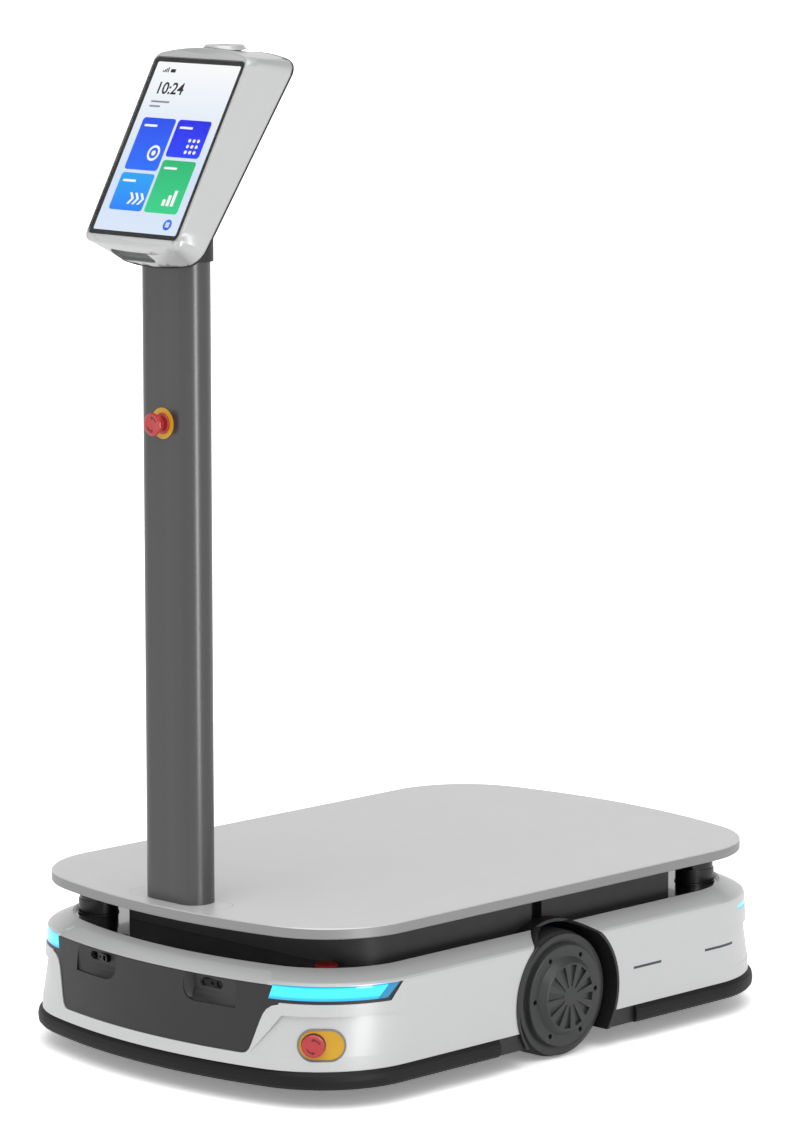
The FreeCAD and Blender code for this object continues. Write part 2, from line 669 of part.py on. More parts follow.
def caster_fork(i):
    x, y = CASTER_AT[i]
    ay = y + CASTER_TRAIL
    g = CASTER_W / 2.0 + 1.2
    parts = [cyl(24.0, 4.0, V(x, y, 80.0)), cyl(6.0, 14.0, V(x, y, 83.0))]
    for k in (-1.0, 1.0):
        side = [(y - 22.0, 84.0), (y + 22.0, 84.0), (ay + 9.0, 40.0), (ay + 9.0, 24.0)]
        side += [(ay - 9.0, 24.0), (ay - 9.0, 34.0), (y - 22.0, 76.0)]
        x0 = x + k * (g + 1.25) - 1.25
        parts.append(prism([V(x0, a, b) for a, b in side], V(2.5, 0, 0)))
    top = box(x - g - 2.5, x + g + 2.5, y - 22.0, y + 22.0, 80.0, 84.0)
    axle = cyl(4.0, 2 * g + 8.0, V(x - g - 4.0, ay, CASTER_Z), V(1, 0, 0))
    return fuse(parts + [top.common(cyl(24.5, 10.0, V(x, y, 78.0))), axle])


def caster_wheel(i):
    x, y = CASTER_AT[i]
    h = CASTER_W / 2.0
    r = CASTER_R
    p = [(-h, 4.05), (-h, r - 3.0), (-h + 3.0, r - 0.4), (0.0, r), (h - 3.0, r - 0.4),
         (h, r - 3.0), (h, 4.05)]
    return turned(p, V(x, y + CASTER_TRAIL, CASTER_Z), V(1, 0, 0))


# ---- inside ----------------------------------------------------------------
def battery_pack():
    s = box(-110.0, 110.0, -150.0, 150.0, 43.5, 150.0)
    return s.makeFillet(6.0, s.Edges)


def main_computer():
    s = box(-95.0, 95.0, 185.0, 330.0, 43.5, 120.0)
    for i in range(12):
        x = -88.0 + i * 16.0
        s = s.cut(box(x - 2.5, x + 2.5, 190.0, 325.0, 108.0, 130.0))
    return s


# ---- emergency stops -------------------------------------------------------
def pole_stop_ring():
    y = POLE_Y - POLE_D / 2.0
    s = cyl(STOP_RING, 1.2, V(0, y, STOP_Z), V(0, -1, 0))
    return s.cut(cyl(13.6, 5.0, V(0, y + 1.0, STOP_Z), V(0, -1, 0)))


def pole_stop_base():
    y = POLE_Y - POLE_D / 2.0
    prof = [(-26.0, 5.6), (-26.0, 12.0), (0.0, 12.0), (0.0, 13.3), (2.4, 13.3), (3.4, 12.4),
            (3.4, 5.6)]
    return turned(prof, V(0, y, STOP_Z), V(0, -1, 0))


def pole_stop_plunger():
    y = POLE_Y - POLE_D / 2.0
    prof = [(-20.0, 0.0), (-20.0, 5.55), (8.0, 5.55), (8.0, 10.2), (12.0, 10.2), (12.0, 0.0)]
    return turned(prof, V(0, y, STOP_Z), V(0, -1, 0))


def stop_head(o, d, z0, h, r):
    """Mushroom head with a waisted side and a dished face."""
    prof = [(z0, 0.0), (z0, r - 3.2), (z0 + 1.5, r - 2.6), (z0 + h - 4.0, r - 0.4),
            (z0 + h - 2.4, r), (z0 + h - 1.0, r - 0.5), (z0 + h, r - 2.0), (z0 + h - 0.6, 6.0),
            (z0 + h - 0.8, 0.0)]
    return turned(prof, o, d)


def pole_stop_head():
    y = POLE_Y - POLE_D / 2.0
    return stop_head(V(0, y, STOP_Z), V(0, -1, 0), 12.3, 7.9, STOP_HEAD)


def corner_stop_base():
    n, t = corner_dirs()
    s = stop_tray(CSTOP_W, CSTOP_H, 136.0, CSTOP_FACE + 0.6)
    s = s.cut(stop_tray(CSTOP_W - 3.4, CSTOP_H - 3.4, 142.0, 160.0))
    o = stop_place(CSTOP_OFF, 0.0)
    s = fuse([s, cyl(13.5, 30.0, o + n * 107.0, n)])
    s = s.cut([cyl(5.6, 60.0, o + n * 100.0, n), cyl(15.8, 20.0, o + n * 138.5, n)])
    return s


def corner_stop_plate():
    n, t = corner_dirs()
    s = stop_tray(CSTOP_W - 4.0, CSTOP_H - 4.0, 142.0, CSTOP_FACE)
    return s.cut(cyl(15.8, 60.0, stop_place(CSTOP_OFF, 120.0), n))


def corner_stop_plunger():
    n, t = corner_dirs()
    prof = [(112.0, 0.0), (112.0, 5.55), (143.0, 5.55), (143.0, 9.0), (145.0, 9.0), (145.0, 0.0)]
    return turned(prof, stop_place(CSTOP_OFF, 0.0), n)


def corner_stop_head():
    n, t = corner_dirs()
    return stop_head(stop_place(CSTOP_OFF, 0.0), n, 145.3, 7.6, 15.0)


# ---- head ------------------------------------------------------------------
def frame(c, tilt):
    a = math.radians(tilt)
    u = V(0, math.sin(a), math.cos(a))
    n = V(0, -math.cos(a), math.sin(a))
    return V(0, c[0], c[1]), u, n


def head_wire(c, tilt, spec, inset=0.0, depth=0.0):
    o, u, n = frame(c, tilt)
    hw, top, bt, low, bl, r = spec
    place = lambda a, b: o + V(a, 0, 0) + u * b - n * depth
    return rounded(hw - inset, top - inset, bt, low + inset, bl, max(r - inset, 2.0), place)


def glass_slab(w, h, r, d0, d1):
    """Rounded slab in the glass plane between two depths behind it."""
    o, u, n = frame(GLASS_C, GLASS_TILT)
    wire = rrect(w, h, r, lambda a, b: o + V(a, 0, 0) + u * b - n * d1)
    return Part.Face(wire).extrude(n * (d1 - d0))


def head_hull(inset, d0, d1):
    front = head_wire(GLASS_C, GLASS_TILT, HEAD_FRONT, inset, d0)
    rear = head_wire(REAR_C, REAR_TILT, HEAD_REAR, inset, d1)
    return loft([front, rear])


def head_shell():
    edge = head_wire(GLASS_C, GLASS_TILT, HEAD_FRONT, 1.6, 0.0)
    knee = head_wire(GLASS_C, GLASS_TILT, HEAD_FRONT, 0.0, 1.8)
    rear = head_wire(REAR_C, REAR_TILT, HEAD_REAR, 0.0, 0.0)
    s = fuse([loft([edge, knee]), loft([knee, rear])])
    inner = head_hull(3.0, 12.0, 0.4)
    s = s.cut([inner, glass_slab(GLASS_W, GLASS_H, GLASS_R, -5.0, GLASS_T),
               glass_slab(GLASS_W - 12.0, GLASS_H - 12.0, 4.0, -5.0, 30.0)])
    o, u, n = frame(GLASS_C, GLASS_TILT)
    s = s.cut(chin_slot())
    ring = cyl(CAM_R - 4.0, 60.0, V(0, CAM_Y, 1290.0))
    return max(s.cut(ring).Solids, key=lambda q: q.Volume)


def chin_slot():
    """Long shallow finger slot across the chin, opening downwards and forwards."""
    c = V(-10.0, -473.0, 1074.5)
    slot = Part.Face(rrect(80.0, 13.0, 6.4, lambda a, b: c + V(a, b * 0.45, b)))
    return slot.extrude(V(0, 3.0, 2.0)).fuse(slot.extrude(V(0, -40.0, -26.0)))


def head_gasket():
    a = head_wire(REAR_C, REAR_TILT, HEAD_REAR, -0.6, 0.0)
    b = head_wire(REAR_C, REAR_TILT, HEAD_REAR, -0.6, GASKET_T)
    c = head_wire(REAR_C, REAR_TILT, HEAD_REAR, 6.0, -1.0)
    d = head_wire(REAR_C, REAR_TILT, HEAD_REAR, 6.0, GASKET_T + 1.0)
    return loft([a, b]).cut(loft([c, d]))


def head_back():
    a = head_wire(REAR_C, REAR_TILT, HEAD_REAR, 1.5, GASKET_T)
    b = head_wire(REAR_C, REAR_TILT, HEAD_REAR, BACK_IN, BACK_N)
    c = head_wire(REAR_C, REAR_TILT, HEAD_REAR, 6.3, 0.3)
    d = head_wire(REAR_C, REAR_TILT, HEAD_REAR, 6.3, GASKET_T + 0.5)
    return fuse([loft([a, b]), loft([c, d])])


def screen_glass():
    return glass_slab(GLASS_W - 0.6, GLASS_H - 0.6, GLASS_R - 0.3, 0.0, GLASS_T - 0.2)


def display_panel():
    return glass_slab(GLASS_W - 13.0, GLASS_H - 13.0, 3.0, GLASS_T + 0.1, 8.0)


def camera_ring():
    prof = [(1318.0, 8.0), (1318.0, CAM_R - 4.4), (1327.0, CAM_R - 4.4), (1328.5, CAM_R + 3.0),
            (1332.0, CAM_R), (1334.0, CAM_R - 1.5), (1333.2, 12.0), (1332.2, 8.0)]
    s = turned(prof, V(0, CAM_Y, 0), V(0, 0, 1))
    hull = head_hull(0.0, 0.0, 0.0)
    keep = s.cut(hull)
    stem = s.common(cyl(CAM_R - 4.4, 60.0, V(0, CAM_Y, 1300.0)))
    return max(fuse([keep, stem]).Solids, key=lambda q: q.Volume)


def camera_lens():
    prof = [(1316.0, 0.0), (1316.0, 7.6), (1331.0, 7.6), (1332.0, 5.0), (1332.3, 0.0)]
    return turned(prof, V(0, CAM_Y, 0), V(0, 0, 1))


def build():
    n = {}
    n["deck_plate"] = deck_plate()
    n["pole_foot"] = pole_foot()
    n["pole"] = pole()
    n["pole_socket"] = pole_socket()
    n["head_shell"] = head_shell()
    n["head_gasket"] = head_gasket()
    n["head_back"] = head_back()
    n["screen_glass"] = screen_glass()
    n["display_panel"] = display_panel()
    n["camera_ring"] = camera_ring()
    n["camera_lens"] = camera_lens()
    n["pole_stop_ring"] = pole_stop_ring()
    n["pole_stop_base"] = pole_stop_base()
    n["pole_stop_plunger"] = pole_stop_plunger()
    n["pole_stop_head"] = pole_stop_head()
    n["top_cover"] = top_cover()
    n["tub"] = tub()
    n["lidar_front"] = lidar(True)
    n["lidar_rear"] = lidar(False)
    n["power_cap"] = power_cap()
    n["body_shell_front"] = shell_half(True)
    n["body_shell_rear"] = shell_half(False)
    n["front_panel"] = front_panel()
    for i, k in enumerate(("front_left", "front_right", "rear_left", "rear_right")):
        n["lamp_" + k] = lamp(i)
        n["caster_fork_" + k] = caster_fork(i)
        n["caster_wheel_" + k] = caster_wheel(i)
    n["camera_left"] = camera_unit(False)
    n["camera_right"] = camera_unit(True)
    n["corner_stop_base"] = corner_stop_base()
    n["corner_stop_plate"] = corner_stop_plate()
    n["corner_stop_plunger"] = corner_stop_plunger()
    n["corner_stop_head"] = corner_stop_head()
    n["bumper_front"] = bumper(True)
    n["bumper_rear"] = bumper(False)
    n["base_pan"] = base_pan()
    n["battery_pack"] = battery_pack()
    n["main_computer"] = main_computer()
    n["caster_plates"] = caster_plates()
    for k, right in (("left", False), ("right", True)):
        n["arch_trim_" + k] = arch_trim(right)
        n["motor_" + k] = motor(right)
        n["tyre_" + k] = tyre(right)
        n["hub_" + k] = hub(right)
        n["wheel_cover_" + k] = wheel_cover(right)
        n["cover_screws_" + k] = cover_screws(right)
    return n


def main():
    os.makedirs("parts", exist_ok=True)
    for name, shape in build().items():
        shape.translate(V(0, SHIFT_Y, SHIFT_Z))
        if shape.isNull() or not shape.isValid():
            print("CHECK", name, "null or not valid")
        b = shape.BoundBox
        print(name, len(shape.Solids), [round(q, 1) for q in (b.XMin, b.XMax, b.YMin, b.YMax,
                                                               b.ZMin, b.ZMax)])
        shape.exportStep("parts/" + name + ".step")


main()
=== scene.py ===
import math
from collections import namedtuple

import bpy
from mathutils import Euler, Matrix, Vector
from mathutils.bvhtree import BVHTree


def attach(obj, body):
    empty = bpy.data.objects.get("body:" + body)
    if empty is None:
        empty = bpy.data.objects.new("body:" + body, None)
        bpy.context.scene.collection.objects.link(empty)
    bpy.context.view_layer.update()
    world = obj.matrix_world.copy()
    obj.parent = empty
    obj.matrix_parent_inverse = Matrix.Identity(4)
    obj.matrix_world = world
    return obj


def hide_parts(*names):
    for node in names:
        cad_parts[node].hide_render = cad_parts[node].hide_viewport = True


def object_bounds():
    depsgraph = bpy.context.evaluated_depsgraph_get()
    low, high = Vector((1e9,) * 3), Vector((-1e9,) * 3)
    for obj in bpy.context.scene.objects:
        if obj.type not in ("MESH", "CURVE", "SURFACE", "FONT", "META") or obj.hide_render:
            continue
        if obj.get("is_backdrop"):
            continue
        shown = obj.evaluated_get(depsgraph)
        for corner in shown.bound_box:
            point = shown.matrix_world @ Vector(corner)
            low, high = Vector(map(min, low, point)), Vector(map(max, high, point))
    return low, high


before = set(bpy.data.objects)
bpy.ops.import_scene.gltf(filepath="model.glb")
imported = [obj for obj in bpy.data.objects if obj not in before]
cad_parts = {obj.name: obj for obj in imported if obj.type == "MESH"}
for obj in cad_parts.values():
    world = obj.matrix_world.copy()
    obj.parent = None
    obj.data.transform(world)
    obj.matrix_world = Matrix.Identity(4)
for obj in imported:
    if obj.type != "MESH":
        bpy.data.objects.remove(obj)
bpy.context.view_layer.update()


# ---- Load deck -----------------------------------------------------------------------
# A plate of clear-anodised aluminium that the goods stand on, milled to shape, with a
# long rounded plate let in flush for the foot of the post. Bead blasting leaves the top
# pale with a soft sheen. Faces that don't face up, the milled edge and the underside,
# are painted a darker grey as painted shade.
MM = 0.001
SIDE_SHADE_GREY, BLASTED_GREY = "#8E8E8F", "#E2E2E3"
CLOUD_MM, CLOUD_SHARE = 260.0, 0.12
EDGE_FACING, TOP_FACING = 0.2, 0.9
Varied = namedtuple("Varied", "low high patch_mm detail", defaults=(2.0,))
Relief = namedtuple("Relief", "depth_mm strength grain_mm detail", defaults=(2.0,))


def linear(hex_colour):
    """An sRGB hex colour as the linear RGBA that shader sockets take."""
    parts = [int(hex_colour[i : i + 2], 16) / 255 for i in (1, 3, 5)]
    return [*(c / 12.92 if c <= 0.04045 else ((c + 0.055) / 1.055) ** 2.4 for c in parts), 1.0]


def feed(tree, source, socket):
    """Fills a socket with a plain value, or links it to a socket or to a node's first live output."""
    if isinstance(source, bpy.types.Node):
        source = next(output for output in source.outputs if output.enabled)
    if isinstance(source, bpy.types.NodeSocket):
        tree.links.new(source, socket)
    else:
        socket.default_value = source


def add(tree, kind, inputs=(), **settings):
    """Adds a node with its settings; its inputs come in order, or by the sockets' identifiers."""
    made = tree.nodes.new(kind)
    for name, value in settings.items():
        setattr(made, name, value)
    sockets = {socket.identifier: socket for socket in made.inputs}
    given = inputs if isinstance(inputs, dict) else dict(zip(sockets, inputs))
    for key, source in given.items():
        feed(tree, source, sockets[key])
    return made


def across(size_mm):
    """The scale of a pattern whose blobs are about size_mm across."""
    return 1.0 / (size_mm * MM)


def inside(material):
    """A material's node tree, its shader's sockets and the Object coordinates of its patterns."""
    tree = material.node_tree
    place = tree.nodes["Texture Coordinate"].outputs["Object"]
    return tree, tree.nodes["Principled BSDF"].inputs, place


def surface(name, colour, roughness, relief=None, stretch=None, **constants):
    """A material: Varied values run from low to high in soft patches, and the rest are constant."""
    material = bpy.data.materials.new(name)
    material.use_nodes = True
    add(material.node_tree, "ShaderNodeTexCoord")
    tree, sockets, place = inside(material)
    for key, value in constants.items():
        sockets[key.replace("_", " ")].default_value = value
    if stretch:
        place = add(tree, "ShaderNodeMapping", {"Vector": place, "Scale": stretch})
    if isinstance(colour, Varied):
        blobs = {"Vector": place, "Scale": across(colour.patch_mm), "Detail": colour.detail}
        patches = add(tree, "ShaderNodeTexNoise", blobs)
        shades = {"Factor_Float": patches, "A_Color": linear(colour.low), "B_Color": linear(colour.high)}
        feed(tree, add(tree, "ShaderNodeMix", shades, data_type="RGBA"), sockets["Base Color"])
    else:
        feed(tree, linear(colour), sockets["Base Color"])
    if isinstance(roughness, Varied):
        blobs = {"Vector": place, "Scale": across(roughness.patch_mm), "Detail": roughness.detail}
        patches = add(tree, "ShaderNodeTexNoise", blobs)
        span = {"Value": patches, "To Min": roughness.low, "To Max": roughness.high}
        feed(tree, add(tree, "ShaderNodeMapRange", span), sockets["Roughness"])
    else:
        feed(tree, roughness, sockets["Roughness"])
    if relief:
        blobs = {"Vector": place, "Scale": across(relief.grain_mm), "Detail": relief.detail}
        height = add(tree, "ShaderNodeTexNoise", blobs)
        bump = {"Strength": relief.strength, "Distance": relief.depth_mm * MM, "Height": height}
        feed(tree, add(tree, "ShaderNodeBump", bump), sockets["Normal"])
    return material


def dress(material, *names):
    """Gives CAD nodes a material in their own slots."""
    for name in names:
        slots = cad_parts[name].data.materials
        slots.clear()
        slots.append(material)


# The beads leave pits of about 0.1 mm. They are drawn twelve times as coarse, so that
# they show as a faint grain.
blasted_aluminium = surface(
    "bead_blasted_anodised_aluminium", BLASTED_GREY, Varied(0.36, 0.5, patch_mm=35.0),
    Relief(depth_mm=0.05, strength=0.5, grain_mm=1.2, detail=3.0), Metallic=0.4)
tree, sockets, place = inside(blasted_aluminium)
# Painted shade: the further a face turns from facing up, the darker its grey, with a faint cloud of tone over
# the top.
normal = add(tree, "ShaderNodeNewGeometry").outputs["Normal"]
facing = add(tree, "ShaderNodeSeparateXYZ", [normal])
upward = add(tree, "ShaderNodeMapRange", [facing.outputs["Z"], EDGE_FACING, TOP_FACING])
cloud = add(tree, "ShaderNodeTexNoise", {"Vector": place, "Scale": across(CLOUD_MM), "Detail": 1.0})
cloudy = add(tree, "ShaderNodeMath", [cloud, CLOUD_SHARE, upward], operation="MULTIPLY_ADD")
shade_by_facing = {"Factor_Float": cloudy, "A_Color": linear(SIDE_SHADE_GREY), "B_Color": linear(BLASTED_GREY)}
feed(tree, add(tree, "ShaderNodeMix", shade_by_facing, data_type="RGBA"), sockets["Base Color"])
dress(blasted_aluminium, "deck_plate", "pole_foot")

# ---- Post ----------------------------------------------------------------------------
# An extruded aluminium tube with well-rounded sides, dark grey anodised, that drops
# into a black moulded socket behind the head.
ALONG_POST = (1.0, 1.0, 0.004)

# The die leaves faint lines along the tube, and the satin finish draws each light out
# into one long upright streak.
dark_anodised = surface(
    "extruded_dark_anodised_aluminium", Varied("#525253", "#585859", patch_mm=9.0),
    Varied(0.26, 0.34, patch_mm=1.6, detail=3.0),
    Relief(depth_mm=0.02, strength=0.3, grain_mm=1.6, detail=3.0), stretch=ALONG_POST, Metallic=0.6)
dress(dark_anodised, "pole")

# A spark-eroded mould gives it a fine matt texture that spreads the light softly.
black_plastic = surface(
    "moulded_black_abs", "#171718", Varied(0.38, 0.54, patch_mm=18.0),
    Relief(depth_mm=0.06, strength=0.5, grain_mm=0.9))
dress(black_plastic, "pole_socket", "head_back")

# ---- Head casing ---------------------------------------------------------------------
# An injection-moulded casing sprayed in silver paint, with a finger slot sunk in its
# chin and lined by a tray whose darker grey is painted shade for the hollow. A rubber
# gasket seals it against its rear cover.
FLAKE_MM = 0.9
CHIN_CENTRE = Vector((-17.5, -457.45, 1067.2))
CHIN_UP = Vector((0.0, -0.8215, 0.5702))
CHIN_IN = Vector((0.0, 0.5702, 0.8215))
SLOT_WIDE, SLOT_HIGH, SLOT_ROUND, SLOT_DEEP = 70.0, 26.0, 10.0, 7.5
CUT_FRONT, CUT_BACK = -12.0, 14.0
TRAY_RIM, TRAY_WALL, TRAY_DRAFT = 0.8, 1.5, 0.8
TRAY_FOOT_IN, TRAY_FOOT_UP = 3.0, 2.4
WELD_MM = 0.002

# The flakes in the paint are drawn coarser than real ones, which are under 0.1 mm, so
# that their sparkle shows under the thin clear coat.
silver_paint = surface(
    "sprayed_silver_paint", "#D2D3D3", 0.34, Relief(depth_mm=0.03, strength=0.4, grain_mm=4.0, detail=1.0),
    Metallic=0.3, Coat_Weight=0.3, Coat_Roughness=0.12)
tree, sockets, place = inside(silver_paint)
flakes = add(tree, "ShaderNodeTexVoronoi", {"Vector": place, "Scale": across(FLAKE_MM)}, feature="F1")
silvers = {"Factor_Float": flakes, "A_Color": linear("#D5D5D6"), "B_Color": linear("#CDCECE")}
feed(tree, add(tree, "ShaderNodeMix", silvers, data_type="RGBA"), sockets["Base Color"])
dress(silver_paint, "head_shell")


def shape(name, verts, faces, material, back=None):
    """A mesh object; back, a vector in mm, makes a sheet a closed piece of that thickness."""
    if back is not None:
        count = len(verts)
        verts = list(verts) + [Vector(v) + back * MM for v in verts]
        edges = {(a, b) for f in faces for a, b in zip(f, (*f[1:], f[0]))}
        rims = [(a, b) for a, b in edges if (b, a) not in edges]
        behind = [tuple(i + count for i in reversed(f)) for f in faces]
        faces = list(faces) + behind + [(b, a, a + count, b + count) for a, b in sorted(rims)]
    mesh = bpy.data.meshes.new(name)
    mesh.from_pydata(verts, [], faces)
    return placed(name, mesh, material)


def placed(name, mesh, material):
    """An object at the origin for a mesh that is already in its place."""
    mesh.materials.clear()
    mesh.materials.append(material)
    piece = bpy.data.objects.new(name, mesh)
    bpy.context.scene.collection.objects.link(piece)
    return piece


def carried(piece, body):
    """Lets a piece ride on a body."""
    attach(piece, body)


def evaluated(piece):
    """The mesh that an object's modifiers or text give."""
    return bpy.data.meshes.new_from_object(piece.evaluated_get(bpy.context.evaluated_depsgraph_get()))


def round_box(wide, high, radius, right=0.0, up=0.0, steps=6):
    """Outline of a rounded rectangle about a centre, anticlockwise."""
    points = []
    for quarter, (sx, sy) in enumerate(((1, 1), (-1, 1), (-1, -1), (1, -1))):
        for i in range(steps + 1):
            angle = math.pi / 2 * (quarter + i / steps)
            points.append((right + sx * (wide / 2 - radius) + radius * math.cos(angle),
                           up + sy * (high / 2 - radius) + radius * math.sin(angle)))
    return points


def band(count, start_a, start_b):
    """Faces between two closed outlines of as many points."""
    return [(start_a + i, start_a + (i + 1) % count, start_b + (i + 1) % count, start_b + i)
            for i in range(count)]


def slot_line(pulled_in, depth):
    """The slot's outline in metres, pulled in all round, at a depth behind the chin's face."""
    outline = round_box(SLOT_WIDE - 2 * pulled_in, SLOT_HIGH - 2 * pulled_in, SLOT_ROUND - pulled_in)
    return [(CHIN_CENTRE + Vector((a, 0, 0)) + CHIN_UP * b + CHIN_IN * depth) * MM for a, b in outline]


mouth = slot_line(0.0, CUT_FRONT)
count = len(mouth)
cutter = shape("chin_cutter", mouth, [tuple(range(count))], silver_paint, CHIN_IN * (CUT_BACK - CUT_FRONT))
casing = placed("head_casing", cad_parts["head_shell"].data.copy(), silver_paint)
weld = casing.modifiers.new("weld", "WELD")
weld.merge_threshold = WELD_MM * MM
cut = casing.modifiers.new("slot", "BOOLEAN")
cut.operation = "DIFFERENCE"
cut.solver = "EXACT"
cut.object = cutter
shading = casing.modifiers.new("shading", "DATA_TRANSFER")
shading.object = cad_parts["head_shell"]
shading.use_loop_data = True
shading.data_types_loops = {"CUSTOM_NORMAL"}
shading.loop_mapping = "POLYINTERP_NEAREST"
casing_mesh = evaluated(casing)
bpy.data.objects.remove(casing)
bpy.data.objects.remove(cutter)
casing = placed("head_casing", casing_mesh, silver_paint)
carried(casing, "chassis")
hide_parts("head_shell")

back_depth = SLOT_DEEP + TRAY_WALL
loops = (slot_line(-TRAY_WALL, TRAY_RIM), slot_line(0.0, TRAY_RIM),
         slot_line(TRAY_DRAFT, SLOT_DEEP - TRAY_FOOT_UP), slot_line(TRAY_FOOT_IN, SLOT_DEEP),
         slot_line(TRAY_FOOT_IN, back_depth), slot_line(-TRAY_WALL, back_depth))
RIM_LINES, FLOOR_LINE, BACK_LINE, SKIRT_LINE = (0, 1, 2), 3, 4, 5
faces = [face for line in RIM_LINES for face in band(count, line * count, (line + 1) * count)]
faces += band(count, BACK_LINE * count, SKIRT_LINE * count) + band(count, SKIRT_LINE * count, 0)
faces.append(tuple(range(FLOOR_LINE * count, BACK_LINE * count)))
faces.append(tuple(reversed(range(BACK_LINE * count, SKIRT_LINE * count))))
# Moulded plastic in a darker grey than the paint round it, as painted shade, so the slot reads as a hollow.
slot_shade_grey = surface("moulded_abs_slot_shade_grey", "#7C7D7E", 0.5, Relief(depth_mm=0.05, strength=0.5, grain_mm=0.9))
tray = shape("chin_slot_tray", [point for line in loops for point in line], faces, slot_shade_grey)
carried(tray, "chassis")

# Dull and deep black, so the seal reads as a dark line.
rubber_seal = surface(
    "extruded_black_rubber_seal", "#121213", 0.6, Relief(depth_mm=0.05, strength=0.5, grain_mm=0.8))
dress(rubber_seal, "head_gasket")

# ---- Dome camera on the head ---------------------------------------------------------
# A raised moulded ring, sprayed with the casing, round a small dome lens that is
# glued in from inside.
dress(silver_paint, "camera_ring")

# Coated glass over a dark inside: nearly black, with sharp bright reflections.
lens_glass = surface(
    "coated_lens_glass", Varied("#06070B", "#0E1018", patch_mm=6.0), 0.06,
    Coat_Weight=1.0, Coat_Roughness=0.03, IOR=1.6)
dress(lens_glass, "camera_lens")

# ---- Touch screen --------------------------------------------------------------------
# A clear cover glass let into the casing over a lit display. The glass is tempered, and
# has a black ink border printed on its back.
GLASS_CENTRE = Vector((0.0, -416.05, 1203.7))
GLASS_TILT = math.radians(29.3)
GLASS_WIDE, GLASS_HIGH, GLASS_ROUND = 165.4, 249.2, 7.4
WINDOW_WIDE, WINDOW_HIGH, WINDOW_ROUND = 152.4, 236.3, 2.4
INK_DEPTH, INK_THICK, LIT_DEPTH = 2.86, 0.04, 3.1
LIT_TOP = 118.45
screen_up = Vector((0.0, math.sin(GLASS_TILT), math.cos(GLASS_TILT)))
screen_out = Vector((0.0, -screen_up.z, screen_up.y))

# Its thin anti-glare coat takes much of the shine off, which the low IOR stands for.
cover_glass = surface(
    "tempered_cover_glass", "#FFFFFF", Varied(0.0, 0.02, patch_mm=40.0), IOR=1.38, Transmission_Weight=1.0)
dress(cover_glass, "screen_glass")


def on_screen(right, up, depth):
    """A point on the display in metres: right and up of its centre, depth behind the glass face."""
    return (GLASS_CENTRE + Vector((right, 0, 0)) + screen_up * up - screen_out * depth) * MM


# Ink under glass has no shine of its own, so the border stays evenly black.
ink = surface(
    "screen_printed_black_ink", Varied("#040405", "#070708", patch_mm=2.0), 0.5, Specular_IOR_Level=0.1)
outline = round_box(GLASS_WIDE, GLASS_HIGH, GLASS_ROUND) + round_box(WINDOW_WIDE, WINDOW_HIGH, WINDOW_ROUND)
points = [on_screen(a, b, INK_DEPTH) for a, b in outline]
half = len(points) // 2
border = shape("screen_ink_border", points, band(half, 0, half), ink, screen_out * -INK_THICK)
carried(border, "chassis")


def glowing(name, stops, low, high):
    """A lit colour that runs through hex stops up the display, from low to high in mm."""
    material = surface(name, "#000000", 0.6, Specular_IOR_Level=0.0, Emission_Strength=1.0)
    tree, sockets, place = inside(material)
    upward = add(tree, "ShaderNodeVectorMath", [place, screen_up], operation="DOT_PRODUCT")
    ends = [screen_up.dot(on_screen(0, level, LIT_DEPTH)) for level in (low, high)]
    ramp = add(tree, "ShaderNodeValToRGB", [add(tree, "ShaderNodeMapRange", [upward, *ends])])
    first, last = ramp.color_ramp.elements
    first.color, last.color = linear(stops[0]), linear(stops[-1])
    for i, colour in enumerate(stops[1:-1], 1):
        ramp.color_ramp.elements.new(i / (len(stops) - 1)).color = linear(colour)
    feed(tree, ramp, sockets["Emission Color"])
    return material


# The backlight shows as a wash from pale blue below to white above.
backdrop = glowing("lit_display", ("#DFECFE", "#D6E6FC", "#E9F2FE", "#FFFFFF"), -LIT_TOP, LIT_TOP)
dress(backdrop, "display_panel")

# ---- Picture on the screen -----------------------------------------------------------
# A plain menu: a clock, short grey lines, a round button and four staggered tiles with
# simple white marks. It is light, so each part is a thin lit film just in front of the
# display, the tiles behind the marks.
FILM = 0.02
TILE_DEPTH, PRINT_DEPTH, MARK_DEPTH = 3.06, 3.04, 3.02
TILE_WIDE, TILE_ROUND, TILE_GAP, TILE_TOP = 61.0, 4.6, 4.4, 40.0
TALL, SHORT = 73.0, 52.0
COLUMNS = {-1: (("blue", TALL), ("sky", SHORT)), 1: (("indigo", SHORT), ("green", TALL))}
TILE_COLOURS = {"blue": ("#0F6CFF", "#0546F2"), "indigo": ("#0A38FF", "#0512EA"),
                "sky": ("#0A82FF", "#00A6FA"), "green": ("#28D58C", "#12BC70")}
CAPTION_WIDE, CAPTION_HIGH, CAPTION_ROUND, CAPTION_LEFT, CAPTION_DOWN = 24.0, 3.2, 1.5, 12.0, 11.0
MARK_RIGHT, MARK_DOWN = 12.0, 12.0
RING_OUTSIDE, RING_INSIDE, RING_DOT, RING_SIDES = 11.0, 7.6, 3.6, 28
CHEVRON = ((0.0, -8.0), (4.4, -8.0), (10.4, 0.0), (4.4, 8.0), (0.0, 8.0), (6.0, 0.0))
CHEVRONS, CHEVRON_STEP, CHEVRON_LEFT, CHEVRON_DOWN = 3, 9.5, 2.0, 9.0
BARS = ((-1.0, 9.0), (7.0, 15.0), (15.0, 22.0))
BAR_WIDE, BAR_ROUND, BAR_FOOT = 5.4, 1.2, 26.0
DOTS_A_ROW, DOT_SIDES, DOT_RADIUS, DOT_STEP, DOTS_RIGHT, DOTS_DOWN = 3, 20, 2.5, 8.0, 3.0, 18.0
CLOCK_HIGH, CLOCK_BOLD, CLOCK_AT = 23.0, 0.42, (-62.0, 74.0)
SIGNAL_AT, SIGNAL_BARS, SIGNAL_STEP = (-61.0, 105.0), 4, 3.0
SIGNAL_WIDE, SIGNAL_LOW, SIGNAL_RISE, SIGNAL_ROUND = 2.0, 2.4, 1.6, 0.3
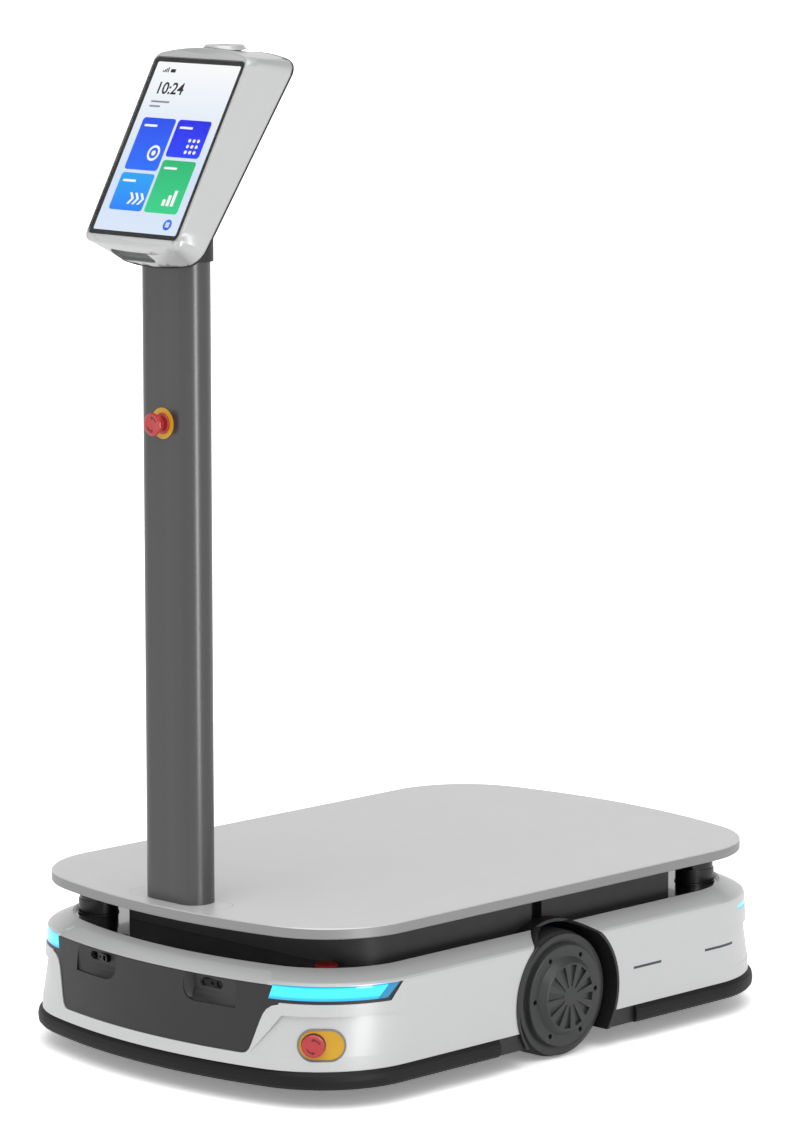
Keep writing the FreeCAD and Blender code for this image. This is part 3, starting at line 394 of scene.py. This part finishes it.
CHARGE_AT, CHARGE_WIDE, CHARGE_HIGH, CHARGE_ROUND = (-43.0, 106.3), 9.0, 4.8, 0.8
GREY_LINES = ((34.0, -45.0, 62.5), (20.0, -52.0, 56.0))
GREY_HIGH, GREY_ROUND = 2.6, 1.2
BUTTON_AT, BUTTON_RADIUS = (54.0, -104.0), 7.6
DASH_WIDE, DASH_HIGH, DASH_ROUND, DASH_STEP = 7.0, 1.5, 0.7, 2.4


def film(name, outlines, material, depth):
    """Flat lit shapes, each from its outline in mm about the display's centre."""
    points, faces = [], []
    for outline in outlines:
        faces.append(tuple(range(len(points), len(points) + len(outline))))
        points += [on_screen(a, b, depth) for a, b in outline]
    carried(shape(name, points, faces, material, screen_out * -FILM), "chassis")


def disc(right, up, radius):
    """Outline of a round dot."""
    turns = [2 * math.pi / RING_SIDES * i for i in range(RING_SIDES)]
    return [(right + radius * math.cos(turn), up + radius * math.sin(turn)) for turn in turns]


tiles = {}
for side, column in COLUMNS.items():
    top = TILE_TOP
    for colour, high in column:
        tiles[colour] = (side * (TILE_WIDE + TILE_GAP) / 2, top - high / 2, high)
        top -= high + TILE_GAP
for colour, (right, up, high) in tiles.items():
    glow = glowing("lit_tile_" + colour, TILE_COLOURS[colour], up - high / 2, up + high / 2)
    outline = round_box(TILE_WIDE, high, TILE_ROUND, right, up, steps=5)
    film("screen_tile_" + colour, [outline], glow, TILE_DEPTH)

# Clean white light over the tiles.
white_glow = glowing("lit_white_marks", ("#FFFFFF", "#F4F8FF"), -LIT_TOP, LIT_TOP)
places = [(right - CAPTION_LEFT, up + high / 2 - CAPTION_DOWN) for right, up, high in tiles.values()]
captions = [round_box(CAPTION_WIDE, CAPTION_HIGH, CAPTION_ROUND, *at, steps=4) for at in places]
film("screen_captions", captions, white_glow, MARK_DEPTH)

right, up, high = tiles["blue"]
centre = (right + MARK_RIGHT, up - MARK_DOWN)
points = [on_screen(a, b, MARK_DEPTH) for a, b in disc(*centre, RING_OUTSIDE) + disc(*centre, RING_INSIDE)]
ring = shape("screen_mark_ring", points, band(RING_SIDES, 0, RING_SIDES), white_glow, screen_out * -FILM)
carried(ring, "chassis")
film("screen_mark_dot", [disc(*centre, RING_DOT)], white_glow, MARK_DEPTH)

right, up, high = tiles["sky"]
starts = [right - CHEVRON_LEFT + CHEVRON_STEP * i for i in range(CHEVRONS)]
chevrons = [[(start + a, up - CHEVRON_DOWN + b) for a, b in CHEVRON] for start in starts]
film("screen_mark_chevrons", chevrons, white_glow, MARK_DEPTH)

right, up, high = tiles["green"]
bars = [round_box(BAR_WIDE, tall, BAR_ROUND, right + shift, up - BAR_FOOT + tall / 2, steps=3)
        for shift, tall in BARS]
film("screen_mark_bars", bars, white_glow, MARK_DEPTH)


def planted(name, sizes, places, stamp, material):
    """A stamp set on points by a node tree, as one plain mesh; the sizes in mm are its inputs."""
    tree = bpy.data.node_groups.new(name, "GeometryNodeTree")
    tree.interface.new_socket(name="Places", in_out="INPUT", socket_type="NodeSocketGeometry")
    tree.interface.new_socket(name="Mesh", in_out="OUTPUT", socket_type="NodeSocketGeometry")
    keys = {}
    for label in sizes:
        socket = tree.interface.new_socket(name=label, in_out="INPUT", socket_type="NodeSocketFloat")
        keys[label] = socket.identifier
    entry = add(tree, "NodeGroupInput").outputs
    stamps = {"Points": entry["Places"], "Instance": stamp(tree, entry)}
    copies = add(tree, "GeometryNodeInstanceOnPoints", stamps)
    real = add(tree, "GeometryNodeRealizeInstances", [copies])
    finished = add(tree, "GeometryNodeSetMaterial", {"Geometry": real, "Material": material})
    add(tree, "NodeGroupOutput", [finished])
    seeds = bpy.data.meshes.new(name)
    seeds.from_pydata([Vector(p) * MM for p in places], [], [])
    piece = placed(name, seeds, material)
    modifier = piece.modifiers.new(name, "NODES")
    modifier.node_group = tree
    for label, value in sizes.items():
        modifier[keys[label]] = value * MM
    piece.data = evaluated(piece)
    piece.modifiers.remove(modifier)
    return piece


def dot_stamp(tree, entry):
    """A round dot, one film thick."""
    sizes = {"Vertices": DOT_SIDES, "Radius": entry["Dot Radius"], "Depth": entry["Film"]}
    return add(tree, "GeometryNodeMeshCylinder", sizes)


right, up, high = tiles["indigo"]
left, bottom = right + DOTS_RIGHT, up - DOTS_DOWN
steps = [DOT_STEP * i for i in range(DOTS_A_ROW)]
spots = [(left + across_by, bottom + up_by, 0.0) for across_by in steps for up_by in steps]
dots = planted("screen_mark_dots", {"Dot Radius": DOT_RADIUS, "Film": FILM}, spots, dot_stamp, white_glow)
screen_turn = Matrix(((1, 0, 0), (0, screen_up.y, screen_out.y), (0, screen_up.z, screen_out.z))).to_4x4()
dots.data.transform(Matrix.Translation(on_screen(0, 0, MARK_DEPTH)) @ screen_turn)
carried(dots, "chassis")

# Unlit digits, which stay just off black.
dark_glow = glowing("lit_near_black_digits", ("#020203", "#060708"), low=60.0, high=110.0)
digits = bpy.data.curves.new("screen_clock", "FONT")
digits.body = "10:24"
digits.size = CLOCK_HIGH * MM
digits.offset = CLOCK_BOLD * MM
digits.extrude = FILM / 2 * MM
writing = bpy.data.objects.new("writing", digits)
bpy.context.scene.collection.objects.link(writing)
clock_mesh = evaluated(writing)
bpy.data.objects.remove(writing)
clock_mesh.transform(Matrix.Translation(on_screen(*CLOCK_AT, PRINT_DEPTH)) @ screen_turn)
carried(placed("screen_clock", clock_mesh, dark_glow), "chassis")

right, up = SIGNAL_AT
signs = [round_box(CHARGE_WIDE, CHARGE_HIGH, CHARGE_ROUND, *CHARGE_AT, steps=3)]
for i in range(SIGNAL_BARS):
    rise = SIGNAL_RISE * i
    at = (right + SIGNAL_STEP * i, up + rise / 2)
    signs.append(round_box(SIGNAL_WIDE, SIGNAL_LOW + rise, SIGNAL_ROUND, *at, steps=2))
film("screen_status_marks", signs, dark_glow, PRINT_DEPTH)

# Soft grey bars in the place of small print.
grey_glow = glowing("lit_grey_lines", ("#8E949E", "#7F858F"), low=50.0, high=70.0)
lines = [round_box(wide, GREY_HIGH, GREY_ROUND, right, up, steps=4) for wide, right, up in GREY_LINES]
film("screen_lines", lines, grey_glow, PRINT_DEPTH)

# The button is the same blue as the tiles, so it reads as one more thing to touch.
button_glow = glowing("lit_round_button", ("#1E58EE", "#3D80FC"), low=-112.0, high=-96.0)
film("screen_button", [disc(*BUTTON_AT, BUTTON_RADIUS)], button_glow, TILE_DEPTH)
right, up = BUTTON_AT
dashes = [round_box(DASH_WIDE, DASH_HIGH, DASH_ROUND, right, up + DASH_STEP * i, steps=3)
          for i in (1, 0, -1)]
film("screen_button_mark", dashes, white_glow, MARK_DEPTH)

# ---- Emergency stop on the post ------------------------------------------------------
# A twist-to-release button: a bare yellow ring under a red moulded collar, a waisted
# red sleeve and a red mushroom head, on which two bent arrows are printed.
ARROW_RADIUS, ARROW_HALF, ARROW_HEAD_HALF = 8.6, 0.9, 2.2
ARROW_FROM, ARROW_STEP, ARROW_STEPS, HEAD_STEPS = 20, 11, 8, 2
ARROW_THICK = 0.4
POST_STOP_FACE = Vector((0, -445.3, 853.5))

# Solid warm yellow, with a soft light just under its skin.
yellow_plastic = surface(
    "moulded_yellow_plastic", Varied("#DFA61C", "#E8B228", patch_mm=14.0), 0.36,
    Relief(depth_mm=0.03, strength=0.4, grain_mm=0.8), Subsurface_Weight=0.05)
dress(yellow_plastic, "pole_stop_ring", "corner_stop_plate")

# A polished mould leaves the red with a slight gloss, so its dished face catches the sky.
red_plastic = surface(
    "moulded_red_plastic", Varied("#BC2E33", "#C93B40", patch_mm=10.0), 0.3,
    Relief(depth_mm=0.03, strength=0.4, grain_mm=0.7), Coat_Weight=0.2, Coat_Roughness=0.1)
dress(red_plastic, "pole_stop_base", "pole_stop_plunger", "pole_stop_head", "corner_stop_plunger",
      "corner_stop_head")

# Flat ink, only a little darker than the red round it.
arrow_print = surface("pad_printed_dark_red", Varied("#66171B", "#761D21", patch_mm=3.0), 0.4)


def twist_arrows(name, centre, right, out, body):
    """Two bent arrows printed on a stop button's dished face, which lies at centre."""
    points, faces = [], []
    up = Vector((0, 0, 1))
    for half_turn in (0, math.pi):
        start = len(points)
        for i in range(ARROW_STEPS + 1):
            angle = half_turn + math.radians(ARROW_FROM + ARROW_STEP * i)
            left = ARROW_STEPS - i
            wide = ARROW_HALF if left > HEAD_STEPS else ARROW_HEAD_HALF * left / HEAD_STEPS
            for r in (ARROW_RADIUS + wide, ARROW_RADIUS - wide):
                points.append((centre + right * (r * math.cos(angle)) + up * (r * math.sin(angle))) * MM)
        faces += [(start + 2 * i, start + 2 * i + 2, start + 2 * i + 3, start + 2 * i + 1)
                  for i in range(ARROW_STEPS)]
    carried(shape(name, points, faces, arrow_print, out * -ARROW_THICK), body)


twist_arrows("pole_stop_arrows", POST_STOP_FACE, Vector((1, 0, 0)), Vector((0, -1, 0)), "pole_stop_knob")

# ---- Body covers ---------------------------------------------------------------------
# Two moulded covers, front and rear, in the same silver paint as the head. Two dark
# pinstripes are printed on the rear one on each side, and the places for a name and a
# number stay bare.
STRIPES = ((132.4, 187.4), (275.4, 336.4))
STRIPE_LEVEL, STRIPE_TALL, STRIPE_STEPS = 100.5, 3.4, 12
STRIPE_PROUD, STRIPE_THICK = 0.08, 0.3
OUTSIDE_X = 400
dress(silver_paint, "body_shell_front", "body_shell_rear")

# A flat printed ink that stays dark where the paint beside it shines.
stripe_print = surface("printed_dark_teal", Varied("#2F434B", "#384C54", patch_mm=5.0), 0.4)
rear_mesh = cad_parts["body_shell_rear"].data
rear_wall = BVHTree.FromPolygons([v.co for v in rear_mesh.vertices], [p.vertices for p in rear_mesh.polygons])
for side, hand in ((-1, "left"), (1, "right")):
    inwards = Vector((-side, 0, 0))
    quads = [(2 * i, 2 * i + 1, 2 * i + 3, 2 * i + 2)[::side] for i in range(STRIPE_STEPS)]
    for number, (start, end) in enumerate(STRIPES, 1):
        points = []
        for i in range(STRIPE_STEPS + 1):
            y = start + (end - start) * i / STRIPE_STEPS
            for z in (STRIPE_LEVEL + STRIPE_TALL / 2, STRIPE_LEVEL - STRIPE_TALL / 2):
                hit = rear_wall.ray_cast(Vector((side * OUTSIDE_X, y, z)) * MM, inwards)[0]
                points.append(hit - inwards * STRIPE_PROUD * MM)
        stripe = shape(f"pinstripe_{hand}_{number}", points, quads, stripe_print, inwards * STRIPE_THICK)
        carried(stripe, "chassis")

# ---- Top cover -----------------------------------------------------------------------
# A glossy black moulding that closes the body inside the silver rim. Four hex-socket
# screws hold it down, two at each end, the rear pair the front pair turned half round.
AXLE_Y = 4.35
SCREW_LEVEL = 171.0
FRONT_SCREWS = ((-89.8, -421.0), (53.7, -423.0))
HEAD_SIDES = 24
SCREW_SIZES = {"Head Radius": 3.4, "Head Height": 2.6, "Socket Radius": 1.6, "Socket Rise": 1.3}

# Polished moulding, a little wavy, which mirrors what is over it.
gloss_black = surface(
    "moulded_gloss_black", "#161618", Varied(0.09, 0.17, patch_mm=22.0),
    Relief(depth_mm=0.15, strength=0.3, grain_mm=60.0, detail=1.0), Coat_Weight=0.6, Coat_Roughness=0.05)
dress(gloss_black, "top_cover")

# Chemically blackened steel: near black, with a dull metal glint on its edges.
black_steel = surface("black_oxide_steel", "#151516", Varied(0.3, 0.42, patch_mm=2.0), Metallic=0.8)


def screw_stamp(tree, entry):
    """A round head with a hexagonal socket sunk in it."""
    head_sizes = {"Vertices": HEAD_SIDES, "Radius": entry["Head Radius"], "Depth": entry["Head Height"]}
    hex_sizes = {"Vertices": 6, "Radius": entry["Socket Radius"], "Depth": entry["Head Height"]}
    head = add(tree, "GeometryNodeMeshCylinder", head_sizes)
    hexagon = add(tree, "GeometryNodeMeshCylinder", hex_sizes)
    rise = add(tree, "ShaderNodeCombineXYZ", {"Z": entry["Socket Rise"]})
    raised = add(tree, "GeometryNodeTransform", {"Geometry": hexagon, "Translation": rise})
    return add(tree, "GeometryNodeMeshBoolean", {"Mesh 1": head, "Mesh 2": raised})


heads = [(turn * x, AXLE_Y + turn * y, SCREW_LEVEL) for x, y in FRONT_SCREWS for turn in (1, -1)]
screws = planted("top_cover_screws", SCREW_SIZES, heads, screw_stamp, black_steel)
carried(screws, "chassis")

# ---- Housing and scanners ------------------------------------------------------------
# The black moulded housing carries the deck. At two opposite corners stands a round
# scanner, a drum of dark polycarbonate that its beam passes through at a window band.
WINDOW_LEVEL, WINDOW_HALF = 196.0, 5.5
DRUM_SATIN, WINDOW_POLISH = 0.34, 0.05
DRUM_BLACK, WINDOW_BLACK = "#19191A", "#0B0B0D"
dress(black_plastic, "tub")

# Satin moulding with a polished, darker band at the window.
drum_black = surface("moulded_satin_black_pc", DRUM_BLACK, DRUM_SATIN)
tree, sockets, place = inside(drum_black)
height = add(tree, "ShaderNodeSeparateXYZ", [place]).outputs["Z"]
window = add(tree, "ShaderNodeMath", [height, WINDOW_LEVEL * MM, WINDOW_HALF * MM], operation="COMPARE")
polish = add(tree, "ShaderNodeMapRange", {"Value": window, "To Min": DRUM_SATIN, "To Max": WINDOW_POLISH})
blacks = {"Factor_Float": window, "A_Color": linear(DRUM_BLACK), "B_Color": linear(WINDOW_BLACK)}
feed(tree, polish, sockets["Roughness"])
feed(tree, add(tree, "ShaderNodeMix", blacks, data_type="RGBA"), sockets["Base Color"])
dress(drum_black, "lidar_front", "lidar_rear")

# ---- Power button --------------------------------------------------------------------
# A low round cap at a front corner of the top cover that is pushed in to switch the robot
# on. It is moulded in clear red plastic and sits loose in a hole of the moulding.

# Light sinks into it and little comes back, so it reads deeper than the red of the stops.
clear_red = surface(
    "moulded_clear_red_pc", Varied("#84080E", "#970C13", patch_mm=8.0), 0.4, Specular_IOR_Level=0.3)
dress(clear_red, "power_cap")

# ---- Front panel and depth cameras ---------------------------------------------------
# The dark front panel is a separate moulding that runs on round the lamps. Each depth
# camera looks out of a black nose in a tapered pocket, through three small round
# windows of dark glass that are glued into the nose.
CAMERA_YAW = math.radians(15.6)
NOSE_AT = Vector((106.0, -442.2, 145.1))
NOSE_DEEP = 2.9
WINDOWS = ((-11.0, 3.8), (1.0, 2.1), (11.0, 3.8))
BEZEL_TO_GLASS = ((1.0, 0.0), (0.6, 0.5))
WINDOW_SIDES, WINDOW_THICK = 24, 0.4

# Fine matt texture that keeps the dark panel from mirroring the floor.
grey_plastic = surface(
    "moulded_dark_grey_abs", "#262627", Varied(0.37, 0.48, patch_mm=20.0),
    Relief(depth_mm=0.04, strength=0.5, grain_mm=0.8))
dress(grey_plastic, "front_panel")

# Smoother and blacker than the panel, so the nose reads as a dark inset.
nose_black = surface("moulded_black_pc", "#080809", Varied(0.26, 0.36, patch_mm=6.0), Specular_IOR_Level=0.3)
dress(nose_black, "camera_left", "camera_right")

for side, hand in ((-1, "left"), (1, "right")):
    out = Vector((side * math.sin(CAMERA_YAW), -math.cos(CAMERA_YAW), 0))
    sideways = Vector((-out.y, out.x, 0))
    nose = Vector((side * NOSE_AT.x, NOSE_AT.y, NOSE_AT.z)) - out * NOSE_DEEP
    points, faces = [], []
    for offset, radius in WINDOWS:
        start = len(points)
        for share, rise in BEZEL_TO_GLASS:
            for i in range(WINDOW_SIDES):
                angle = 2 * math.pi / WINDOW_SIDES * i
                flat = sideways * (offset * side + radius * share * math.cos(angle))
                upright = Vector((0, 0, radius * share * math.sin(angle)))
                points.append((nose + flat + upright + out * rise) * MM)
        middle = start + WINDOW_SIDES
        faces += band(WINDOW_SIDES, start, middle) + [tuple(range(middle, middle + WINDOW_SIDES))]
    windows = shape("camera_windows_" + hand, points, faces, lens_glass, out * -WINDOW_THICK)
    carried(windows, "chassis")

# ---- Lamps ---------------------------------------------------------------------------
# Lit strips behind clear cyan lenses, wrapped round the four corners of the body. A
# front lens is closed at its outer, slanted end, which glows dimly, with its ribs
# painted on as stripes of shade and light.
CORNER_TURN = math.radians(42.8)
END_LEAN, END_LEVEL, END_BACK, END_BLEND = 0.8, 139.5, 15.0, 1.0
RIB_PITCH, RIB_SHADOW, RIB_LIGHT = 1.3, 0.3, 1.0
DEEP_TO_BRIGHT, BRIGHT_TO_LINE = (141.6, 144.6), (155.8, 156.8)
REAR_DEEP_TO_BRIGHT = (142.9, 144.4)
DEEP_BLUE, BRIGHT_CYAN, LINE_BLUE = "#22B4EC", "#3AFAFF", "#1C96DC"
RIB_SHADE_BLUE, RIB_LIT_BLUE = "#0B3E5C", "#1B9CCB"

# The light is even and bright, bluer along the lower edge and in a thin line along the
# upper one.
cyan_lens = surface(
    "lit_cyan_lens", "#0E5C8C", 0.12, Coat_Weight=0.5, Coat_Roughness=0.05, Emission_Strength=1.0)
tree, sockets, place = inside(cyan_lens)
parts = add(tree, "ShaderNodeSeparateXYZ", [place]).outputs
either_side = add(tree, "ShaderNodeMath", [parts["X"]], operation="ABSOLUTE")
flat = add(tree, "ShaderNodeCombineXYZ", {"X": either_side, "Y": parts["Y"]})
round_corner = (math.cos(CORNER_TURN), math.sin(CORNER_TURN), 0.0)
along = add(tree, "ShaderNodeVectorMath", [flat, round_corner], operation="DOT_PRODUCT")
slanted = add(tree, "ShaderNodeMath", [parts["Z"], -END_LEAN, along], operation="MULTIPLY_ADD")
end_at = AXLE_Y * math.sin(CORNER_TURN) - END_LEAN * END_LEVEL - END_BACK
closed_end = add(tree, "ShaderNodeMapRange", [slanted, end_at * MM, (end_at + END_BLEND) * MM])
ribs = add(tree, "ShaderNodeMath", [slanted, RIB_PITCH * MM], operation="PINGPONG")
rib_light = add(tree, "ShaderNodeMapRange", [ribs, RIB_SHADOW * MM, RIB_LIGHT * MM])
bright = add(tree, "ShaderNodeMapRange", [parts["Z"], *(level * MM for level in DEEP_TO_BRIGHT)])
lined = add(tree, "ShaderNodeMapRange", [parts["Z"], *(level * MM for level in BRIGHT_TO_LINE)])
fill = {"Factor_Float": bright, "A_Color": linear(DEEP_BLUE), "B_Color": linear(BRIGHT_CYAN)}
fill = add(tree, "ShaderNodeMix", fill, data_type="RGBA")
fill = {"Factor_Float": lined, "A_Color": fill, "B_Color": linear(LINE_BLUE)}
fill = add(tree, "ShaderNodeMix", fill, data_type="RGBA")
# The ribs are painted shade and painted light: stripes of darker and paler glow across the closed end.
dim = {"Factor_Float": rib_light, "A_Color": linear(RIB_SHADE_BLUE), "B_Color": linear(RIB_LIT_BLUE)}
dim = add(tree, "ShaderNodeMix", dim, data_type="RGBA")
whole = {"Factor_Float": closed_end, "A_Color": fill, "B_Color": dim}
feed(tree, add(tree, "ShaderNodeMix", whole, data_type="RGBA"), sockets["Emission Color"])
dress(cyan_lens, "lamp_front_left", "lamp_front_right")

# The same light behind a thinner lens.
rear_lens = surface(
    "lit_cyan_rear_lens", "#0E5C8C", 0.12, Coat_Weight=0.5, Coat_Roughness=0.05, Emission_Strength=1.0)
tree, sockets, place = inside(rear_lens)
height = add(tree, "ShaderNodeSeparateXYZ", [place]).outputs["Z"]
bright = add(tree, "ShaderNodeMapRange", [height, *(level * MM for level in REAR_DEEP_TO_BRIGHT)])
fill = {"Factor_Float": bright, "A_Color": linear(DEEP_BLUE), "B_Color": linear(BRIGHT_CYAN)}
feed(tree, add(tree, "ShaderNodeMix", fill, data_type="RGBA"), sockets["Emission Color"])
dress(rear_lens, "lamp_rear_left", "lamp_rear_right")

# ---- Emergency stop on the front corner ----------------------------------------------
# The same kind of button set low in the corner, in a long bare yellow plate with a thin
# grey moulded rim let into the silver cover.
CORNER_CENTRE = Vector((163.0, -297.05, 83.1))
STOP_OUT, STOP_ASIDE = 152.75, 10.3

# Plain satin moulding, which draws a soft grey line round the yellow.
rim_grey = surface("moulded_grey_rim", "#8C8C8C", Varied(0.35, 0.45, patch_mm=8.0))
dress(rim_grey, "corner_stop_base")
corner_out = Vector((math.sin(CORNER_TURN), -math.cos(CORNER_TURN), 0))
corner_right = Vector((math.cos(CORNER_TURN), math.sin(CORNER_TURN), 0))
stop_face = CORNER_CENTRE + corner_out * STOP_OUT - corner_right * STOP_ASIDE
twist_arrows("corner_stop_arrows", stop_face, corner_right, corner_out, "corner_stop_knob")

# ---- Bumpers, base pan and arches ----------------------------------------------------
# Soft rubber bumpers run round each end, clipped under a folded and welded steel pan.
# The wheel arches are edged with a moulded black trim.

# Dull rubber that takes the light softly and stays darker than the plastics.
rubber = surface(
    "moulded_black_rubber", Varied("#0D0D0E", "#111112", patch_mm=30.0), 0.55,
    Relief(depth_mm=0.08, strength=0.5, grain_mm=1.4, detail=3.0), Specular_IOR_Level=0.3)
dress(rubber, "bumper_front", "bumper_rear")

# Powder coat, with the slight orange-peel skin that it cures to.
pan_coat = surface(
    "powder_coated_dark_grey", "#222223", 0.5, Relief(depth_mm=0.08, strength=0.6, grain_mm=1.0, detail=3.0))
dress(pan_coat, "base_pan")

# Polypropylene has a waxy, uneven sheen.
trim_black = surface("moulded_black_pp", "#1F1F20", Varied(0.35, 0.48, patch_mm=15.0))
dress(trim_black, "arch_trim_left", "arch_trim_right")

# ---- Drive wheels --------------------------------------------------------------------
# Hub motors with rubber tyres on cast hubs, each closed by a moulded cover with a ribbed
# boss that six black screws hold. Their stators are bolted to the pan.

# Rubber from a mould, matt and slightly rough from use.
tyre_rubber = surface(
    "vulcanised_tyre_rubber", "#1A1A1B", 0.7, Relief(depth_mm=0.12, strength=0.6, grain_mm=1.5, detail=3.0))
dress(tyre_rubber, "tyre_left", "tyre_right")

# The sandy skin that a casting keeps where it isn't machined.
cast_aluminium = surface(
    "cast_aluminium", "#9A9B9D", 0.45, Relief(depth_mm=0.1, strength=0.6, grain_mm=1.2, detail=3.0),
    Metallic=0.9)
dress(cast_aluminium, "hub_left", "hub_right")

# Glass-filled nylon: graphite grey, with a faintly patchy satin skin.
cover_grey = surface(
    "moulded_graphite_nylon", "#333435", Varied(0.37, 0.48, patch_mm=12.0),
    Relief(depth_mm=0.05, strength=0.5, grain_mm=0.9))
dress(cover_grey, "wheel_cover_left", "wheel_cover_right")
dress(black_steel, "cover_screws_left", "cover_screws_right")

# Bright zinc, a little cloudy.
zinc_steel = surface("zinc_plated_steel", "#A9ABAD", Varied(0.24, 0.4, patch_mm=5.0), Metallic=1.0)
dress(zinc_steel, "motor_left", "motor_right")

# ---- Casters -------------------------------------------------------------------------
# Four swivel casters bolted under the pan: pressed steel forks and plates, with rollers
# of polyurethane cast on their cores.
CORNERS = ("front_left", "front_right", "rear_left", "rear_right")
dress(zinc_steel, "caster_plates", *("caster_fork_" + corner for corner in CORNERS))

# Smooth and slightly soft, so its highlight is broad.
caster_tread = surface(
    "cast_grey_polyurethane", "#3E4043", 0.5, Relief(depth_mm=0.06, strength=0.5, grain_mm=1.1))
dress(caster_tread, *("caster_wheel_" + corner for corner in CORNERS))

# ---- Battery and main computer -------------------------------------------------------
# Two closed boxes stand on the pan inside the covers: the battery in a sheet steel
# case, and the computer in a plain die-cast one.

# Sprayed slate blue with a fine texture.
battery_case = surface(
    "painted_battery_case", "#2E3A4A", 0.5, Relief(depth_mm=0.07, strength=0.5, grain_mm=1.3))
dress(battery_case, "battery_pack")
dress(cast_aluminium, "main_computer")

# ---- Floor, light and camera ---------------------------------------------------------
# A plain white paper floor that runs out of sight, an open white sky that is darker
# overhead, a broad soft lamp from above and a slim strip lamp off the right side.
FLOOR_REACH = 60.0
HORIZON_LIGHT, OVERHEAD_LIGHT, DARK_STRIP_LIGHT = 0.9, 0.5, 0.06
SKY_TURNS_AT = (0.3, 0.62)
PAPER_GLOW, PAPER_BLEACH = 0.2, "#C8C8C8"
DARK_STRIP_LEVEL, DARK_STRIP_HALF = 0.515, 0.1
SUN_FROM, STRIP_AT, STRIP_FROM = (0.30, -0.32, 1.0), (1.65, -0.52, 0.72), (1.0, -0.07, 0.0)
CAMERA_AT = (4.8772, -4.9497, 1.7205)
CAMERA_DOWN, CAMERA_ROUND, CAMERA_ROLL = math.radians(9.030), math.radians(44.554), -0.00077

# Matt paper. To the camera it is bleached, so that it reads as white where nothing
# shades it and still shows the shadow. Gloss and glass see a little of that too.
paper = surface(
    "matt_white_paper", Varied("#F3F3F3", "#F6F6F6", patch_mm=900.0), 0.9, Specular_IOR_Level=0.0)
tree, sockets, place = inside(paper)
path = add(tree, "ShaderNodeLightPath").outputs
seen = add(tree, "ShaderNodeMath", [path["Is Camera Ray"], path["Is Glossy Ray"]], operation="MAXIMUM")
seen = add(tree, "ShaderNodeMath", [seen, path["Is Transmission Ray"]], operation="MAXIMUM")
sockets["Emission Color"].default_value = linear("#FFFFFF")
glow = add(tree, "ShaderNodeMapRange", {"Value": seen, "To Max": PAPER_GLOW})
feed(tree, glow, sockets["Emission Strength"])
bleach = add(tree, "ShaderNodeBsdfDiffuse", {"Color": linear(PAPER_BLEACH)})
bleach = add(tree, "ShaderNodeMixShader", {"Fac": path["Is Camera Ray"], "Shader_001": bleach})
bleached = add(tree, "ShaderNodeAddShader", [tree.nodes["Principled BSDF"], bleach])
feed(tree, bleached, tree.nodes["Material Output"].inputs["Surface"])
floor_mesh = bpy.data.meshes.new("floor")
floor_mesh.from_pydata([(-FLOOR_REACH, -FLOOR_REACH, 0), (FLOOR_REACH, -FLOOR_REACH, 0),
                        (FLOOR_REACH, FLOOR_REACH, 0), (-FLOOR_REACH, FLOOR_REACH, 0)], [], [(0, 1, 2, 3)])
placed("floor", floor_mesh, paper)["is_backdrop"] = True

# Gloss sees a dark strip some way up the sky, like a black flag in a studio, which
# keeps the screen's border black. The camera and the glass see plain white.
world = bpy.data.worlds.new("studio")
bpy.context.scene.world = world
world.use_nodes = True
tree = world.node_tree
direction = add(tree, "ShaderNodeTexCoord").outputs["Generated"]
upward = add(tree, "ShaderNodeSeparateXYZ", [direction]).outputs["Z"]
path = add(tree, "ShaderNodeLightPath").outputs
sky = add(tree, "ShaderNodeMapRange", [upward, *SKY_TURNS_AT, HORIZON_LIGHT, OVERHEAD_LIGHT])
flag = add(tree, "ShaderNodeMath", [upward, DARK_STRIP_LEVEL, DARK_STRIP_HALF], operation="COMPARE")
mirrored = add(tree, "ShaderNodeMath", [flag, path["Is Glossy Ray"]], operation="MULTIPLY")
sky = add(tree, "ShaderNodeMapRange", {"Value": mirrored, "To Min": sky, "To Max": DARK_STRIP_LIGHT})
through = [path["Is Camera Ray"], path["Is Transmission Ray"]]
plain = add(tree, "ShaderNodeMath", through, operation="MAXIMUM")
sky = add(tree, "ShaderNodeMapRange", {"Value": plain, "To Min": sky})
background = tree.nodes["Background"].inputs
background["Color"].default_value = linear("#FFFFFF")
feed(tree, sky, background["Strength"])

# The soft lamp gives the light, and the strip lamp only a streak on what is glossy.
softbox = bpy.data.lights.new("overhead_softbox", "SUN")
softbox.energy = 1.3
softbox.angle = math.radians(60)
strip = bpy.data.lights.new("side_strip", "AREA")
strip.shape = "RECTANGLE"
strip.size, strip.size_y = 0.42, 1.3
strip.energy = 12.0
for lamp, spot, comes_from in ((softbox, (0.0, 0.0, 0.0), SUN_FROM), (strip, STRIP_AT, STRIP_FROM)):
    holder = bpy.data.objects.new(lamp.name, lamp)
    holder.location = spot
    holder.rotation_euler = Vector(comes_from).to_track_quat("Z", "Y").to_euler()
    bpy.context.scene.collection.objects.link(holder)
    holder.visible_camera = lamp is not strip
    holder.visible_diffuse = lamp is not strip

lens = bpy.data.cameras.new("camera")
lens.lens = 166.45
lens.sensor_width = 36.0
camera = bpy.data.objects.new("camera", lens)
camera.location = CAMERA_AT
camera.rotation_euler = Euler((math.pi / 2 - CAMERA_DOWN, 0.0, CAMERA_ROUND))
camera.rotation_euler.rotate_axis("Z", CAMERA_ROLL)
bpy.context.scene.collection.objects.link(camera)
bpy.context.scene.camera = camera
bpy.context.scene.view_settings.view_transform = "Standard"

low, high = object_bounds()
